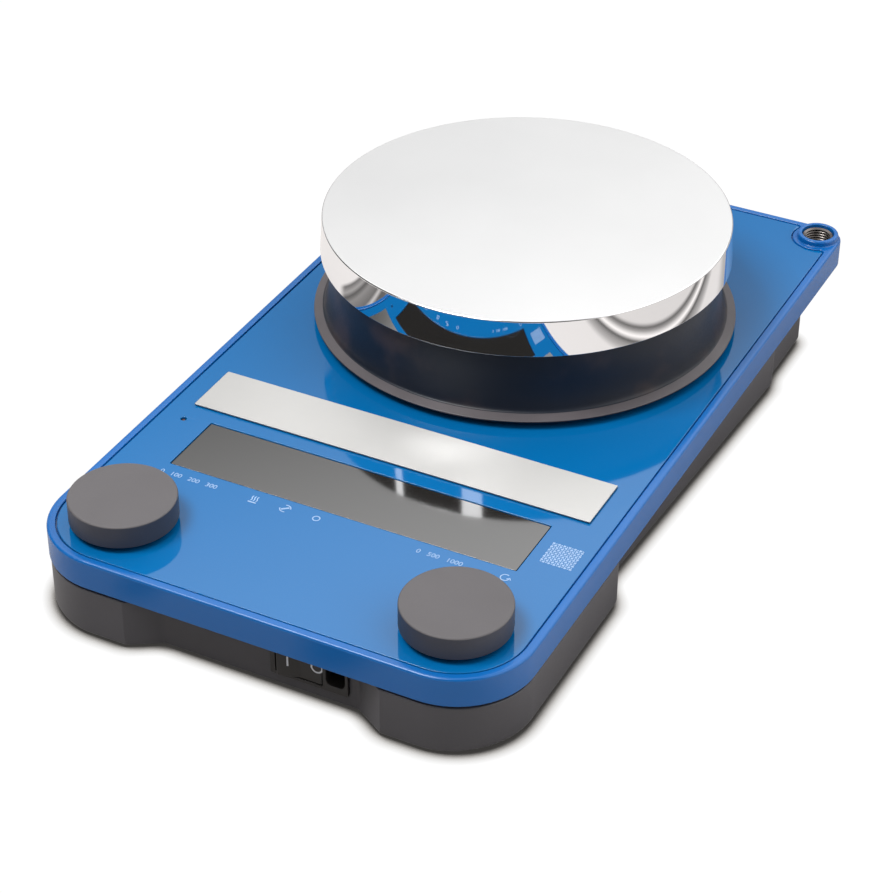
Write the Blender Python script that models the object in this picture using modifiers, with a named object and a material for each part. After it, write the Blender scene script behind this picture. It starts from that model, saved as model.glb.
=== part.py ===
"""Hotplate stirrer: a flat bench unit with a heated plate, a magnet drive and two knobs.

Metres, +Z up. The origin is on the bench, under the middle of the unit's plan.
The front, with the knobs and the display, faces -Y, and the right-hand side is +X.
"""
import math

import bmesh
import bpy

# Running and seating gaps
SEAT_GAP = 0.0003
RUNNING_GAP = 0.0005
CUT_OVERRUN = 0.001

# How near two points of a mesh are before they become one
TURNED_WELD = 0.00001
OUTLINE_WELD = 0.000001

# Smoothness of round shapes, in steps to a full turn
FINE_STEPS = 72
ROUND_STEPS = 40
SMALL_STEPS = 20
CORNER_STEPS = 6
REAR_CORNER_STEPS = 4
SMOOTH_ANGLE = math.radians(35)

# Top cover: the blue casting
COVER_WIDTH = 0.160
COVER_LENGTH = 0.286
COVER_UNDERSIDE = 0.0182
COVER_SIDE = 0.010
COVER_WALL = 0.0026
COVER_ROOF = 0.0028
COVER_EDGE = 0.0007
FRONT_CORNER_RADIUS = 0.025
REAR_CORNER_RADIUS = 0.0082
RIM_WIDTH = 0.0027
RIM_DROP = 0.0002

# Smooth panel that fills the cover's top, and what shows in it
PANEL_THICKNESS = 0.0010
PANEL_GROOVE = 0.0005
BADGE_INSET = 0.0106
BADGE_DEPTH = 0.0210
BADGE_THICKNESS = 0.0005
BADGE_TO_SHIELD = 0.0080
WINDOW_INSET = 0.0207
WINDOW_DEPTH = 0.0241
WINDOW_THICKNESS = 0.0008
WINDOW_TO_BADGE = 0.0062
WINDOW_LEDGE = 0.0026
LAMP_INSET = 0.0114
LAMP_SETBACK = 0.0017
LAMP_RADIUS = 0.0007
LAMP_FLANGE = 0.0009
LAMP_FLANGE_HEIGHT = 0.0010
LAMP_LENGTH = 0.0060

# Display and its board
LCD_BORDER = 0.0008
LCD_HEIGHT = 0.0042
BOARD_THICKNESS = 0.0016
DISPLAY_BOARD_SIDE = 0.0140
DISPLAY_BOARD_FRONT = 0.0130
DISPLAY_BOARD_BACK = 0.0040
BOARD_POST_RADIUS = 0.0025
BOARD_POST_INSET = 0.0040

# Boss for the support rod, at the cover's rear right corner
BOSS_RADIUS = 0.0072
BOSS_PROUD = 0.0021
BOSS_PAD = 0.0016
BOSS_POST_RISE = 0.0005
SOCKET_RADIUS = 0.0053
SOCKET_BORE_RADIUS = 0.0043
SOCKET_SINK = 0.0010
SOCKET_LENGTH = 0.0104

# Housing: the dark tub under the cover
HOUSING_INSET = 0.0004
HOUSING_WALL = 0.0032
HOUSING_FLOOR = 0.0022
HOUSING_CLEARANCE = 0.0030
COVER_SHADOW_GAP = 0.0010
REGISTER_TOP = 0.0018
REGISTER_FLOOR_LIFT = 0.0003
BAY_DEPTH = 0.0059
FOOT_FACE = 0.0120
BAY_RAMP = 0.0100
FOOT_LENGTH = 0.0856
FLANK_LENGTH = 0.0090
WAIST_INSET = 0.0070
HIP_INSET = 0.0012
HIP_FROM_WALL = 0.0360
TAIL_STEP_LENGTH = 0.0060
TAIL_INSET = 0.0032
REAR_OVERHANG = 0.0310
HOUSING_REAR_RADIUS = 0.0050

# Feet
PAD_PROUD = 0.0012
PAD_RADIUS = 0.0090
PAD_SINK = 0.0015
FOOT_KNEE_INSET = 0.0360
FOOT_KNEE_BACK = 0.0300
FOOT_TOE_INSET = 0.0220
FOOT_TOE_BACK = 0.0060
FOOT_HEEL_INSET = 0.0008
FOOT_OVERDRAW = 0.0100
FRONT_PAD_INSET = 0.0200
FRONT_PAD_FROM_FRONT = 0.0260
REAR_PAD_INSET = 0.0240
REAR_PAD_FROM_WALL = 0.0200
REAR_FOOT_RADIUS = 0.0120

# Screws that hold the housing to the cover
SCREW_FRONT_INSET = 0.0095
SCREW_FRONT_FROM_FRONT = 0.0450
SCREW_REAR_INSET = 0.0115
SCREW_REAR_FROM_WALL = 0.0110
SCREW_RADIUS = 0.0013
SCREW_HEAD_RADIUS = 0.0028
SCREW_HEAD_HEIGHT = 0.0019
SCREW_BOSS_RADIUS = 0.0036
SCREW_SEAT_HEIGHT = 0.0060
SCREW_JOINT_DROP = 0.0064
SCREW_REACH = 0.0042

# Vents in the housing's floor
VENT_COUNT = 6
VENT_WIDTH = 0.0030
VENT_LENGTH = 0.0260
VENT_PITCH = 0.0070
VENT_FROM_PLATE_AXIS = 0.0640

# Heating plate and what it carries
PLATE_FROM_REAR = 0.1005
PLATE_RADIUS = 0.0682
PLATE_THICKNESS = 0.0125
PLATE_ABOVE_COVER = 0.0381
PLATE_EDGE = 0.0005
PLATE_RIM = 0.0142
PLATE_RECESS_DEPTH = 0.0082
HEATER_INNER_RADIUS = 0.0240
HEATER_MARGIN = 0.0040
HEATER_THICKNESS = 0.0035
INSULATION_THICKNESS = 0.0037
SENSOR_RADIUS = 0.0030
RETAINER_LAP = 0.0040
RETAINER_THICKNESS = 0.0008

# Heat shield under the plate
SHIELD_SEAM = 0.0012
SHIELD_TOP_INSET = 0.0022
SHIELD_WALL = 0.0016
SHIELD_LIP_OVERHANG = 0.0031
SHIELD_LIP_LIFT = 0.0025
SHIELD_LIP_EDGE = 0.0009
SHIELD_FLARE = 0.0028
SHIELD_FLARE_HEIGHT = 0.0105
SHIELD_FLARE_STEPS = 4
GASKET_INSET = 0.0038
GASKET_WIDTH = 0.0045
PANEL_HOLE_INSET = 0.0113

# Standoffs between cover and plate
STANDOFF_COUNT = 3
STANDOFF_RADIUS = 0.0030
STANDOFF_INSET = 0.0010
COVER_HOLE_LEDGE = 0.0090

# Motor and magnet drive
MOTOR_MOUNT_LAP = 0.0050
MOTOR_MOUNT_THICKNESS = 0.0018
MOTOR_CASE_RADIUS = 0.0260
MOTOR_CASE_WALL = 0.0015
MOTOR_CASE_HEIGHT = 0.0142
STATOR_INNER_RADIUS = 0.0135
STATOR_HEIGHT = 0.0069
SHAFT_RADIUS = 0.0025
BEARING_RADIUS = 0.0080
BEARING_HEIGHT = 0.0025
HOLDER_MARGIN = 0.0120
HOLDER_THICKNESS = 0.0030
HOLDER_HUB_RADIUS = 0.0060
HOLDER_HUB_HEIGHT = 0.0030
MAGNET_RADIUS = 0.0080
MAGNET_HEIGHT = 0.0050
MAGNET_INSET = 0.0110
MAGNET_CLEARANCE = 0.0020

# Power board and its parts
POWER_BOARD_SIDE = 0.0180
POWER_BOARD_DEPTH = 0.056
POWER_BOARD_TO_MOTOR = 0.0105
POWER_BOARD_LIFT = 0.0030
MODULE_WIDTH = 0.042
MODULE_DEPTH = 0.034
MODULE_HEIGHT = 0.0105
MODULE_PLACE_SHARE = -0.242
HEATSINK_WIDTH = 0.036
HEATSINK_DEPTH = 0.028
HEATSINK_HEIGHT = 0.0095
HEATSINK_BASE = 0.0025
HEATSINK_FINS = 6
HEATSINK_FIN_SHARE = 0.45
HEATSINK_PLACE_SHARE = 0.242

# Knobs and the encoders under them
KNOB_INSET = 0.02425
KNOB_FROM_FRONT = 0.0231
KNOB_RADIUS = 0.0166
KNOB_HEIGHT = 0.0076
KNOB_ABOVE_COVER = 0.0093
KNOB_EDGE = 0.0006
KNOB_WALL = 0.0018
KNOB_ROOF = 0.0024
KNOB_HUB_RADIUS = 0.0052
KNOB_PUSH = 0.0005
KNOB_SHAFT_RADIUS = 0.0030
KNOB_SHAFT_ENGAGEMENT = 0.0050
KNOB_HOLE_RADIUS = 0.0045
ENCODER_WIDTH = 0.0124
ENCODER_DEPTH = 0.0132
ENCODER_HEIGHT = 0.0058
ENCODER_FLOOR = 0.0010
PLUNGER_HEIGHT = 0.0010

# Rocker switch in the front bay, with a recess beside the rocker
SWITCH_INSET = 0.0033
SWITCH_Z = 0.0110
SWITCH_DEPTH = 0.0128
SWITCH_CHEEK = 0.0012
SWITCH_SHELL = 0.0006
SWITCH_FLOOR = 0.0014
BEZEL_BORDER = 0.0004
BEZEL_THICKNESS = 0.0008
ROCKER_HEIGHT = 0.0086
ROCKER_HALF_LENGTH = 0.0072
ROCKER_THROW = math.radians(8)
ROCKER_PIVOT_DEPTH = 0.0032
ROCKER_RISE = 0.0008
ROCKER_VEE = 0.0010
ROCKER_SHOULDER = 0.0005
ROCKER_BELLY = 0.0036
ROCKER_BELLY_STEPS = 6
ROCKER_PIN_RADIUS = 0.0009
RECESS_WALL = 0.0010
RECESS_WIDTH = 0.0062
RECESS_DEPTH = 0.0070
RECESS_CORNER = 0.0012
RECESS_CORNER_STEPS = 3

# Rear wall: mains inlet, fuse holder and probe socket
INLET_X = -0.0340
INLET_Z = 0.0151
INLET_BODY_WIDTH = 0.0269
INLET_BODY_HEIGHT = 0.0188
INLET_BODY_DEPTH = 0.0150
INLET_BEZEL_WIDTH = 0.0307
INLET_BEZEL_HEIGHT = 0.0200
INLET_BEZEL_THICKNESS = 0.0020
INLET_CAVITY_WIDTH = 0.0245
INLET_CAVITY_HEIGHT = 0.0164
INLET_CAVITY_DEPTH = 0.0150
INLET_PIN_WIDTH = 0.0020
INLET_PIN_HEIGHT = 0.0040
INLET_PIN_LENGTH = 0.0120
INLET_PIN_PITCH = 0.0070
INLET_EARTH_RISE = 0.0040
FUSE_X = 0.0040
FUSE_Z = 0.0140
FUSE_BODY_RADIUS = 0.0060
FUSE_BODY_LENGTH = 0.0140
FUSE_FLANGE_RADIUS = 0.0080
FUSE_FLANGE_THICKNESS = 0.0015
FUSE_CAP_RADIUS = 0.0054
FUSE_CAP_LENGTH = 0.0042
PROBE_X = 0.0330
PROBE_Z = 0.0140
PROBE_BODY_RADIUS = 0.0070
PROBE_BODY_LENGTH = 0.0110
PROBE_FLANGE_RADIUS = 0.0088
PROBE_FLANGE_THICKNESS = 0.0016
PROBE_BORE_RADIUS = 0.0055
PROBE_BORE_DEPTH = 0.0080

# Places that follow from the sizes above
HALF_WIDTH = COVER_WIDTH / 2
FRONT_Y = -COVER_LENGTH / 2
REAR_Y = COVER_LENGTH / 2
COVER_TOP = COVER_UNDERSIDE + COVER_SIDE
CEILING_Z = COVER_TOP - COVER_ROOF
POCKET_DEPTH = PANEL_THICKNESS + SEAT_GAP + RIM_DROP
POCKET_Z = COVER_TOP - POCKET_DEPTH
PANEL_TOP = COVER_TOP - RIM_DROP
HOUSING_TOP = COVER_UNDERSIDE - COVER_SHADOW_GAP
FLOOR_Z = HOUSING_CLEARANCE + HOUSING_FLOOR
BAY_Y = FRONT_Y + HOUSING_INSET + BAY_DEPTH
BAY_HALF_WIDTH = HALF_WIDTH - FRONT_CORNER_RADIUS - FOOT_FACE
FOOT_KNEE_X = HALF_WIDTH - FOOT_KNEE_INSET
FOOT_TOE_X = HALF_WIDTH - FOOT_TOE_INSET
REAR_WALL_Y = REAR_Y - REAR_OVERHANG
HIP_Y = REAR_WALL_Y - HIP_FROM_WALL
REAR_WALL_TOP = CEILING_Z - SEAT_GAP
SCREW_JOINT_Z = CEILING_Z - SCREW_JOINT_DROP
PLATE_Y = REAR_Y - PLATE_FROM_REAR
PLATE_TOP = COVER_TOP + PLATE_ABOVE_COVER
PLATE_BOTTOM = PLATE_TOP - PLATE_THICKNESS
PLATE_CEILING = PLATE_BOTTOM + PLATE_RECESS_DEPTH
PLATE_RECESS_RADIUS = PLATE_RADIUS - PLATE_RIM
HEATER_OUTER_RADIUS = PLATE_RECESS_RADIUS - HEATER_MARGIN
RETAINER_RADIUS = PLATE_RECESS_RADIUS + RETAINER_LAP
STANDOFF_CIRCLE = PLATE_RECESS_RADIUS - STANDOFF_INSET
COVER_HOLE_RADIUS = STANDOFF_CIRCLE - COVER_HOLE_LEDGE
MOTOR_MOUNT_RADIUS = COVER_HOLE_RADIUS + MOTOR_MOUNT_LAP
HOLDER_RADIUS = COVER_HOLE_RADIUS - HOLDER_MARGIN
MAGNET_CIRCLE = HOLDER_RADIUS - MAGNET_INSET
HEATER_TOP = PLATE_CEILING - SEAT_GAP
INSULATION_TOP = HEATER_TOP - HEATER_THICKNESS - SEAT_GAP
RETAINER_TOP = PLATE_BOTTOM - SEAT_GAP
RETAINER_BOTTOM = RETAINER_TOP - RETAINER_THICKNESS
SHIELD_TOP = PLATE_BOTTOM - SHIELD_SEAM
SHIELD_TOP_RADIUS = PLATE_RADIUS - SHIELD_TOP_INSET
SHIELD_LIP_RADIUS = PLATE_RADIUS + SHIELD_LIP_OVERHANG
SHIELD_LIP_BOTTOM = PANEL_TOP + SHIELD_LIP_LIFT
PANEL_HOLE_RADIUS = SHIELD_LIP_RADIUS - PANEL_HOLE_INSET
BADGE_WIDTH = COVER_WIDTH - 2 * BADGE_INSET
BADGE_Y = PLATE_Y - SHIELD_LIP_RADIUS - BADGE_TO_SHIELD - BADGE_DEPTH / 2
WINDOW_WIDTH = COVER_WIDTH - 2 * WINDOW_INSET
WINDOW_BACK = BADGE_Y - BADGE_DEPTH / 2 - WINDOW_TO_BADGE
WINDOW_Y = WINDOW_BACK - WINDOW_DEPTH / 2
LAMP_X = LAMP_INSET - HALF_WIDTH
LAMP_Y = WINDOW_BACK - LAMP_SETBACK
LCD_WIDTH = WINDOW_WIDTH - 2 * LCD_BORDER
LCD_DEPTH = WINDOW_DEPTH - 2 * LCD_BORDER
MOUNT_TOP = CEILING_Z - SEAT_GAP
MOUNT_BOTTOM = MOUNT_TOP - MOTOR_MOUNT_THICKNESS
CASE_TOP = MOUNT_BOTTOM - SEAT_GAP
CASE_BOTTOM = CASE_TOP - MOTOR_CASE_HEIGHT
CASE_FLOOR = CASE_BOTTOM + MOTOR_CASE_WALL
LOWER_BEARING_Z = CASE_FLOOR + SEAT_GAP
STATOR_Z = LOWER_BEARING_Z + BEARING_HEIGHT + SEAT_GAP
MAGNET_TOP = RETAINER_BOTTOM - MAGNET_CLEARANCE
HOLDER_TOP = MAGNET_TOP - MAGNET_HEIGHT - SEAT_GAP
DISPLAY_BOARD_TOP = CEILING_Z - SEAT_GAP - ENCODER_HEIGHT - SEAT_GAP
DISPLAY_BOARD_WIDTH = COVER_WIDTH - 2 * DISPLAY_BOARD_SIDE
DISPLAY_BOARD_Y = (FRONT_Y + DISPLAY_BOARD_FRONT + WINDOW_BACK + DISPLAY_BOARD_BACK) / 2
DISPLAY_BOARD_DEPTH = WINDOW_BACK + DISPLAY_BOARD_BACK - FRONT_Y - DISPLAY_BOARD_FRONT
KNOB_X = HALF_WIDTH - KNOB_INSET
KNOB_Y = FRONT_Y + KNOB_FROM_FRONT
KNOB_TOP = COVER_TOP + KNOB_ABOVE_COVER
KNOB_BOTTOM = KNOB_TOP - KNOB_HEIGHT
ENCODER_TOP = CEILING_Z - SEAT_GAP
ENCODER_BOTTOM = ENCODER_TOP - ENCODER_HEIGHT
PLUNGER_Z = ENCODER_BOTTOM + ENCODER_FLOOR + KNOB_PUSH + SEAT_GAP
KNOB_SHAFT_Z = PLUNGER_Z + PLUNGER_HEIGHT + SEAT_GAP
KNOB_BORE_TOP = KNOB_BOTTOM + KNOB_SHAFT_ENGAGEMENT
POWER_BOARD_Z = FLOOR_Z + POWER_BOARD_LIFT + SEAT_GAP
POWER_BOARD_TOP = POWER_BOARD_Z + BOARD_THICKNESS
POWER_BOARD_WIDTH = COVER_WIDTH - 2 * POWER_BOARD_SIDE
POWER_BOARD_Y = PLATE_Y - MOTOR_CASE_RADIUS - POWER_BOARD_TO_MOTOR - POWER_BOARD_DEPTH / 2
MODULE_X = POWER_BOARD_WIDTH * MODULE_PLACE_SHARE
HEATSINK_X = POWER_BOARD_WIDTH * HEATSINK_PLACE_SHARE
BOSS_X = HALF_WIDTH - REAR_CORNER_RADIUS
BOSS_Y = REAR_Y - REAR_CORNER_RADIUS
BOSS_TOP = COVER_TOP + BOSS_PROUD
ROCKER_REACH = ROCKER_HALF_LENGTH * math.cos(ROCKER_THROW) + (
    ROCKER_PIVOT_DEPTH + ROCKER_RISE
) * math.sin(ROCKER_THROW)
SWITCH_RIGHT = BAY_HALF_WIDTH - BAY_RAMP - SWITCH_INSET
SWITCH_X = SWITCH_RIGHT - SWITCH_SHELL - RECESS_WIDTH - RECESS_WALL - SEAT_GAP - ROCKER_REACH
SWITCH_LEFT = SWITCH_X - ROCKER_REACH - SEAT_GAP - SWITCH_CHEEK
SWITCH_LOW = SWITCH_Z - ROCKER_HEIGHT / 2 - SEAT_GAP - SWITCH_SHELL
SWITCH_HIGH = SWITCH_Z + ROCKER_HEIGHT / 2 + SEAT_GAP + SWITCH_SHELL
BEZEL_BACK = BAY_Y - SEAT_GAP
BEZEL_FRONT = BEZEL_BACK - BEZEL_THICKNESS
SWITCH_BACK = BEZEL_FRONT + SWITCH_DEPTH
ROCKER_PIVOT_Y = BEZEL_FRONT + ROCKER_PIVOT_DEPTH
SCREW_PLACES = [
    (sign * x, y)
    for x, y in (
        (HALF_WIDTH - SCREW_FRONT_INSET, FRONT_Y + SCREW_FRONT_FROM_FRONT),
        (HALF_WIDTH - SCREW_REAR_INSET, REAR_WALL_Y - SCREW_REAR_FROM_WALL),
    )
    for sign in (-1, 1)
]
PAD_PLACES = [
    (sign * x, y)
    for x, y in (
        (HALF_WIDTH - FRONT_PAD_INSET, FRONT_Y + FRONT_PAD_FROM_FRONT),
        (HALF_WIDTH - REAR_PAD_INSET, REAR_WALL_Y - REAR_PAD_FROM_WALL),
    )
    for sign in (-1, 1)
]


def clear_scene():
    """Removes whatever the file opened with."""
    for old in list(bpy.data.objects):
        bpy.data.objects.remove(old, do_unlink=True)


def make_collection(name):
    """A collection in the scene."""
    collection = bpy.data.collections.new(name)
    bpy.context.scene.collection.children.link(collection)
    return collection


clear_scene()
PART = make_collection("hotplate_stirrer")
CUTTERS = make_collection("cutters")


def make_material(name, colour, roughness, metallic=0.0):
    """A plain Principled material with the colour of the real finish."""
    material = bpy.data.materials.new(name)
    material.use_nodes = True
    shader = material.node_tree.nodes["Principled BSDF"]
    shader.inputs["Base Color"].default_value = (*colour, 1.0)
    shader.inputs["Roughness"].default_value = roughness
    shader.inputs["Metallic"].default_value = metallic
    material.diffuse_color = (*colour, 1.0)
    return material


MATERIALS = {
    "cover_blue": make_material("cover_blue", (0.07, 0.19, 0.50), 0.35),
    "panel_blue": make_material("panel_blue", (0.05, 0.22, 0.55), 0.12),
    "window_grey": make_material("window_grey", (0.20, 0.19, 0.18), 0.15),
    "badge_steel": make_material("badge_steel", (0.70, 0.68, 0.65), 0.35, 1.0),
    "polished_steel": make_material("polished_steel", (0.80, 0.80, 0.80), 0.10, 1.0),
    "plain_steel": make_material("plain_steel", (0.55, 0.55, 0.56), 0.35, 1.0),
    "aluminium": make_material("aluminium", (0.75, 0.76, 0.77), 0.30, 1.0),
    "brass": make_material("brass", (0.65, 0.48, 0.20), 0.30, 1.0),
    "shield_black": make_material("shield_black", (0.02, 0.022, 0.03), 0.55),
    "housing_grey": make_material("housing_grey", (0.08, 0.075, 0.07), 0.60),
    "knob_grey": make_material("knob_grey", (0.10, 0.09, 0.09), 0.65),
    "rubber": make_material("rubber", (0.02, 0.02, 0.02), 0.85),
    "black_plastic": make_material("black_plastic", (0.02, 0.02, 0.02), 0.50),
    "board_green": make_material("board_green", (0.02, 0.16, 0.06), 0.50),
    "ceramic_white": make_material("ceramic_white", (0.75, 0.73, 0.68), 0.80),
    "magnet": make_material("magnet", (0.35, 0.35, 0.36), 0.40, 1.0),
    "copper": make_material("copper", (0.60, 0.28, 0.14), 0.40, 1.0),
    "lamp": make_material("lamp", (0.25, 0.10, 0.08), 0.20),
}


def link(obj, collection):
    """Puts an object in a collection, and hides a cutter from the model."""
    collection.objects.link(obj)
    if collection is CUTTERS:
        obj.hide_render = True
        obj.display_type = "WIRE"
    return obj


def mesh_object(name, mesh, collection=PART):
    """An object round a mesh, shaded smooth except at its corners."""
    mesh.shade_smooth()
    mesh.set_sharp_from_angle(angle=SMOOTH_ANGLE)
    return link(bpy.data.objects.new(name, mesh), collection)


def finish(obj, material):
    """Gives a piece its material."""
    obj.data.materials.append(MATERIALS[material])
    return obj


def box(name, size, centre, collection=PART):
    """A block of a size about a centre."""
    shape = bmesh.new()
    bmesh.ops.create_cube(shape, size=1)
    bmesh.ops.scale(shape, vec=size, verts=shape.verts)
    mesh = bpy.data.meshes.new(name)
    shape.to_mesh(mesh)
    shape.free()
    obj = mesh_object(name, mesh, collection)
    obj.location = centre
    return obj


def rod(name, radius, low, high, place=(0, 0), collection=PART, steps=ROUND_STEPS):
    """An upright cylinder between two heights."""
    shape = bmesh.new()
    bmesh.ops.create_cone(
        shape, cap_ends=True, segments=steps, radius1=radius, radius2=radius, depth=high - low
    )
    mesh = bpy.data.meshes.new(name)
    shape.to_mesh(mesh)
    shape.free()
    obj = mesh_object(name, mesh, collection)
    obj.location = (place[0], place[1], (low + high) / 2)
    return obj


def turned(name, profile, place=(0, 0, 0), collection=PART, steps=ROUND_STEPS, closed=True):
    """A turned shape from a profile of (radius, height) that runs down its outer side."""
    mesh = bpy.data.meshes.new(name)
    count = len(profile)
    edges = [(i, i + 1) for i in range(count - 1)]
    if closed:
        edges.append((count - 1, 0))
    mesh.from_pydata([(radius, 0, height) for radius, height in profile], edges, [])
    obj = link(bpy.data.objects.new(name, mesh), collection)
    obj.location = place
    screw = obj.modifiers.new("turn", "SCREW")
    screw.steps = steps
    screw.render_steps = steps
    screw.use_merge_vertices = True
    screw.merge_threshold = TURNED_WELD
    screw.use_smooth_shade = True
    return obj


def ring(name, inner, outer, low, high, place=(0, 0), collection=PART, steps=ROUND_STEPS):
    """A flat ring between two radii and two heights."""
    profile = [(outer, high), (outer, low), (inner, low), (inner, high)]
    return turned(name, profile, (place[0], place[1], 0), collection, steps)


def arc(centre, radius, start, end, steps):
    """Points along an arc, with angles in degrees."""
    points = []
    for i in range(steps + 1):
        angle = math.radians(start + (end - start) * i / steps)
        points.append((centre[0] + radius * math.cos(angle), centre[1] + radius * math.sin(angle)))
    return points


def prism(name, outline, low, high, collection=PART):
    """An outline drawn in plan and made solid between two heights."""
    curve = bpy.data.curves.new(name, "CURVE")
    curve.dimensions = "2D"
    curve.fill_mode = "BOTH"
    curve.extrude = (high - low) / 2
    spline = curve.splines.new("POLY")
    spline.points.add(len(outline) - 1)
    for point, (x, y) in zip(spline.points, outline):
        point.co = (x, y, 0, 1)
    spline.use_cyclic_u = True
    drawn = link(bpy.data.objects.new(name + "_outline", curve), CUTTERS)
    drawn.location = (0, 0, (low + high) / 2)
    bpy.context.view_layer.update()
    evaluated = drawn.evaluated_get(bpy.context.evaluated_depsgraph_get())
    mesh = bpy.data.meshes.new_from_object(evaluated)
    place = drawn.matrix_world.copy()
    bpy.data.objects.remove(drawn, do_unlink=True)
    shape = bmesh.new()
    shape.from_mesh(mesh)
    bmesh.ops.remove_doubles(shape, verts=shape.verts, dist=OUTLINE_WELD)
    bmesh.ops.dissolve_limit(
        shape, angle_limit=math.radians(1), verts=shape.verts, edges=shape.edges
    )
    bmesh.ops.recalc_face_normals(shape, faces=shape.faces)
    shape.to_mesh(mesh)
    shape.free()
    mesh.name = name
    obj = mesh_object(name, mesh, collection)
    obj.matrix_world = place
    return obj


def combine(target, operation, *tools):
    """Adds or takes away other shapes, which stay in the file as cutters."""
    for tool in tools:
        step = target.modifiers.new(operation.lower(), "BOOLEAN")
        step.operation = operation
        step.object = tool
    return target


def cut(target, *tools):
    """Takes shapes away from a piece."""
    return combine(target, "DIFFERENCE", *tools)


def add(target, *tools):
    """Joins shapes to a piece."""
    return combine(target, "UNION", *tools)


def bevel(obj, width, segments=2):
    """Rounds a piece's sharp edges."""
    step = obj.modifiers.new("edge", "BEVEL")
    step.width = width
    step.segments = segments
    step.limit_method = "ANGLE"
    step.angle_limit = math.radians(60)
    return obj


def cutter_box(name, size, centre):
    """A block used only to cut or to join."""
    return box(name, size, centre, CUTTERS)


def cutter_rod(name, radius, low, high, place, steps=ROUND_STEPS):
    """An upright cylinder used only to cut or to join."""
    return rod(name, radius, low, high, place, CUTTERS, steps)


# Plans of the cover and the housing

def cover_outline(inset=0.0):
    """Plan of the cover, with large round corners in front and small ones behind."""
    half = HALF_WIDTH - inset
    front = FRONT_Y + inset
    rear = REAR_Y - inset
    large = FRONT_CORNER_RADIUS - inset
    small = REAR_CORNER_RADIUS - inset
    return (
        arc((half - large, front + large), large, -90, 0, CORNER_STEPS)
        + arc((half - small, rear - small), small, 0, 90, REAR_CORNER_STEPS)
        + arc((-half + small, rear - small), small, 90, 180, REAR_CORNER_STEPS)
        + arc((-half + large, front + large), large, 180, 270, CORNER_STEPS)
    )


def foot_front_edge(inset=0.0):
    """The bay's ramp and the foot's round corner, on the right, up to the foot's rear end."""
    half = HALF_WIDTH - HOUSING_INSET - inset
    front = FRONT_Y + HOUSING_INSET + inset
    radius = FRONT_CORNER_RADIUS - HOUSING_INSET - inset
    ramp_shift = inset * math.tan(math.atan2(BAY_DEPTH, BAY_RAMP) / 2)
    flank_shift = inset * math.tan(math.atan2(WAIST_INSET - HOUSING_INSET, FLANK_LENGTH) / 2)
    return (
        [
            (BAY_HALF_WIDTH - BAY_RAMP + ramp_shift, front + BAY_DEPTH),
            (BAY_HALF_WIDTH + ramp_shift, front),
        ]
        + arc((half - radius, front + radius), radius, -90, 0, CORNER_STEPS)
        + [
            (half, FRONT_Y + FOOT_LENGTH - flank_shift),
            (
                HALF_WIDTH - WAIST_INSET - inset,
                FRONT_Y + FOOT_LENGTH + FLANK_LENGTH - flank_shift,
            ),
        ]
    )


def housing_outline(inset=0.0):
    """Plan of the housing: feet in front, a waist along each side and a plain tail."""
    half = HALF_WIDTH - inset
    rear = REAR_WALL_Y - inset
    radius = HOUSING_REAR_RADIUS - inset
    tail_x = half - TAIL_INSET
    right = (
        foot_front_edge(inset)
        + [(half - HIP_INSET, HIP_Y), (tail_x, HIP_Y + TAIL_STEP_LENGTH)]
        + arc((tail_x - radius, rear - radius), radius, 0, 90, REAR_CORNER_STEPS)
    )
    left = [(-x, y) for x, y in reversed(right)]
    return right + left


def foot_outline(side):
    """Plan of the deeper block under one front foot, drawn past the housing's own edge."""
    outside = HALF_WIDTH + FOOT_OVERDRAW
    before = FRONT_Y - FOOT_OVERDRAW
    rear_y = FRONT_Y + FOOT_LENGTH + FLANK_LENGTH - FOOT_HEEL_INSET
    slope = FOOT_TOE_BACK / (HALF_WIDTH - WAIST_INSET - FOOT_TOE_X)
    toe_y = rear_y - FOOT_TOE_BACK
    root_x = BAY_HALF_WIDTH - BAY_RAMP - SEAT_GAP
    right = [
        (root_x, before),
        (outside, before),
        (outside, toe_y + slope * (outside - FOOT_TOE_X)),
        (FOOT_TOE_X, toe_y),
        (FOOT_KNEE_X, rear_y - FOOT_KNEE_BACK),
        (root_x, BAY_Y - SEAT_GAP),
    ]
    points = [(side * x, y) for x, y in right]
    return points if side > 0 else points[::-1]


# Top cover with its panel and its boss

def cover_pocket(name, inset, low, high, pad):
    """The space for the panel, which goes round the rod's boss."""
    shape = prism(name, cover_outline(inset), low, high, CUTTERS)
    around = (BOSS_X, BOSS_Y)
    keep = cutter_rod(name + "_pad", pad, low - CUT_OVERRUN, high + CUT_OVERRUN, around)
    return cut(shape, keep)


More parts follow.
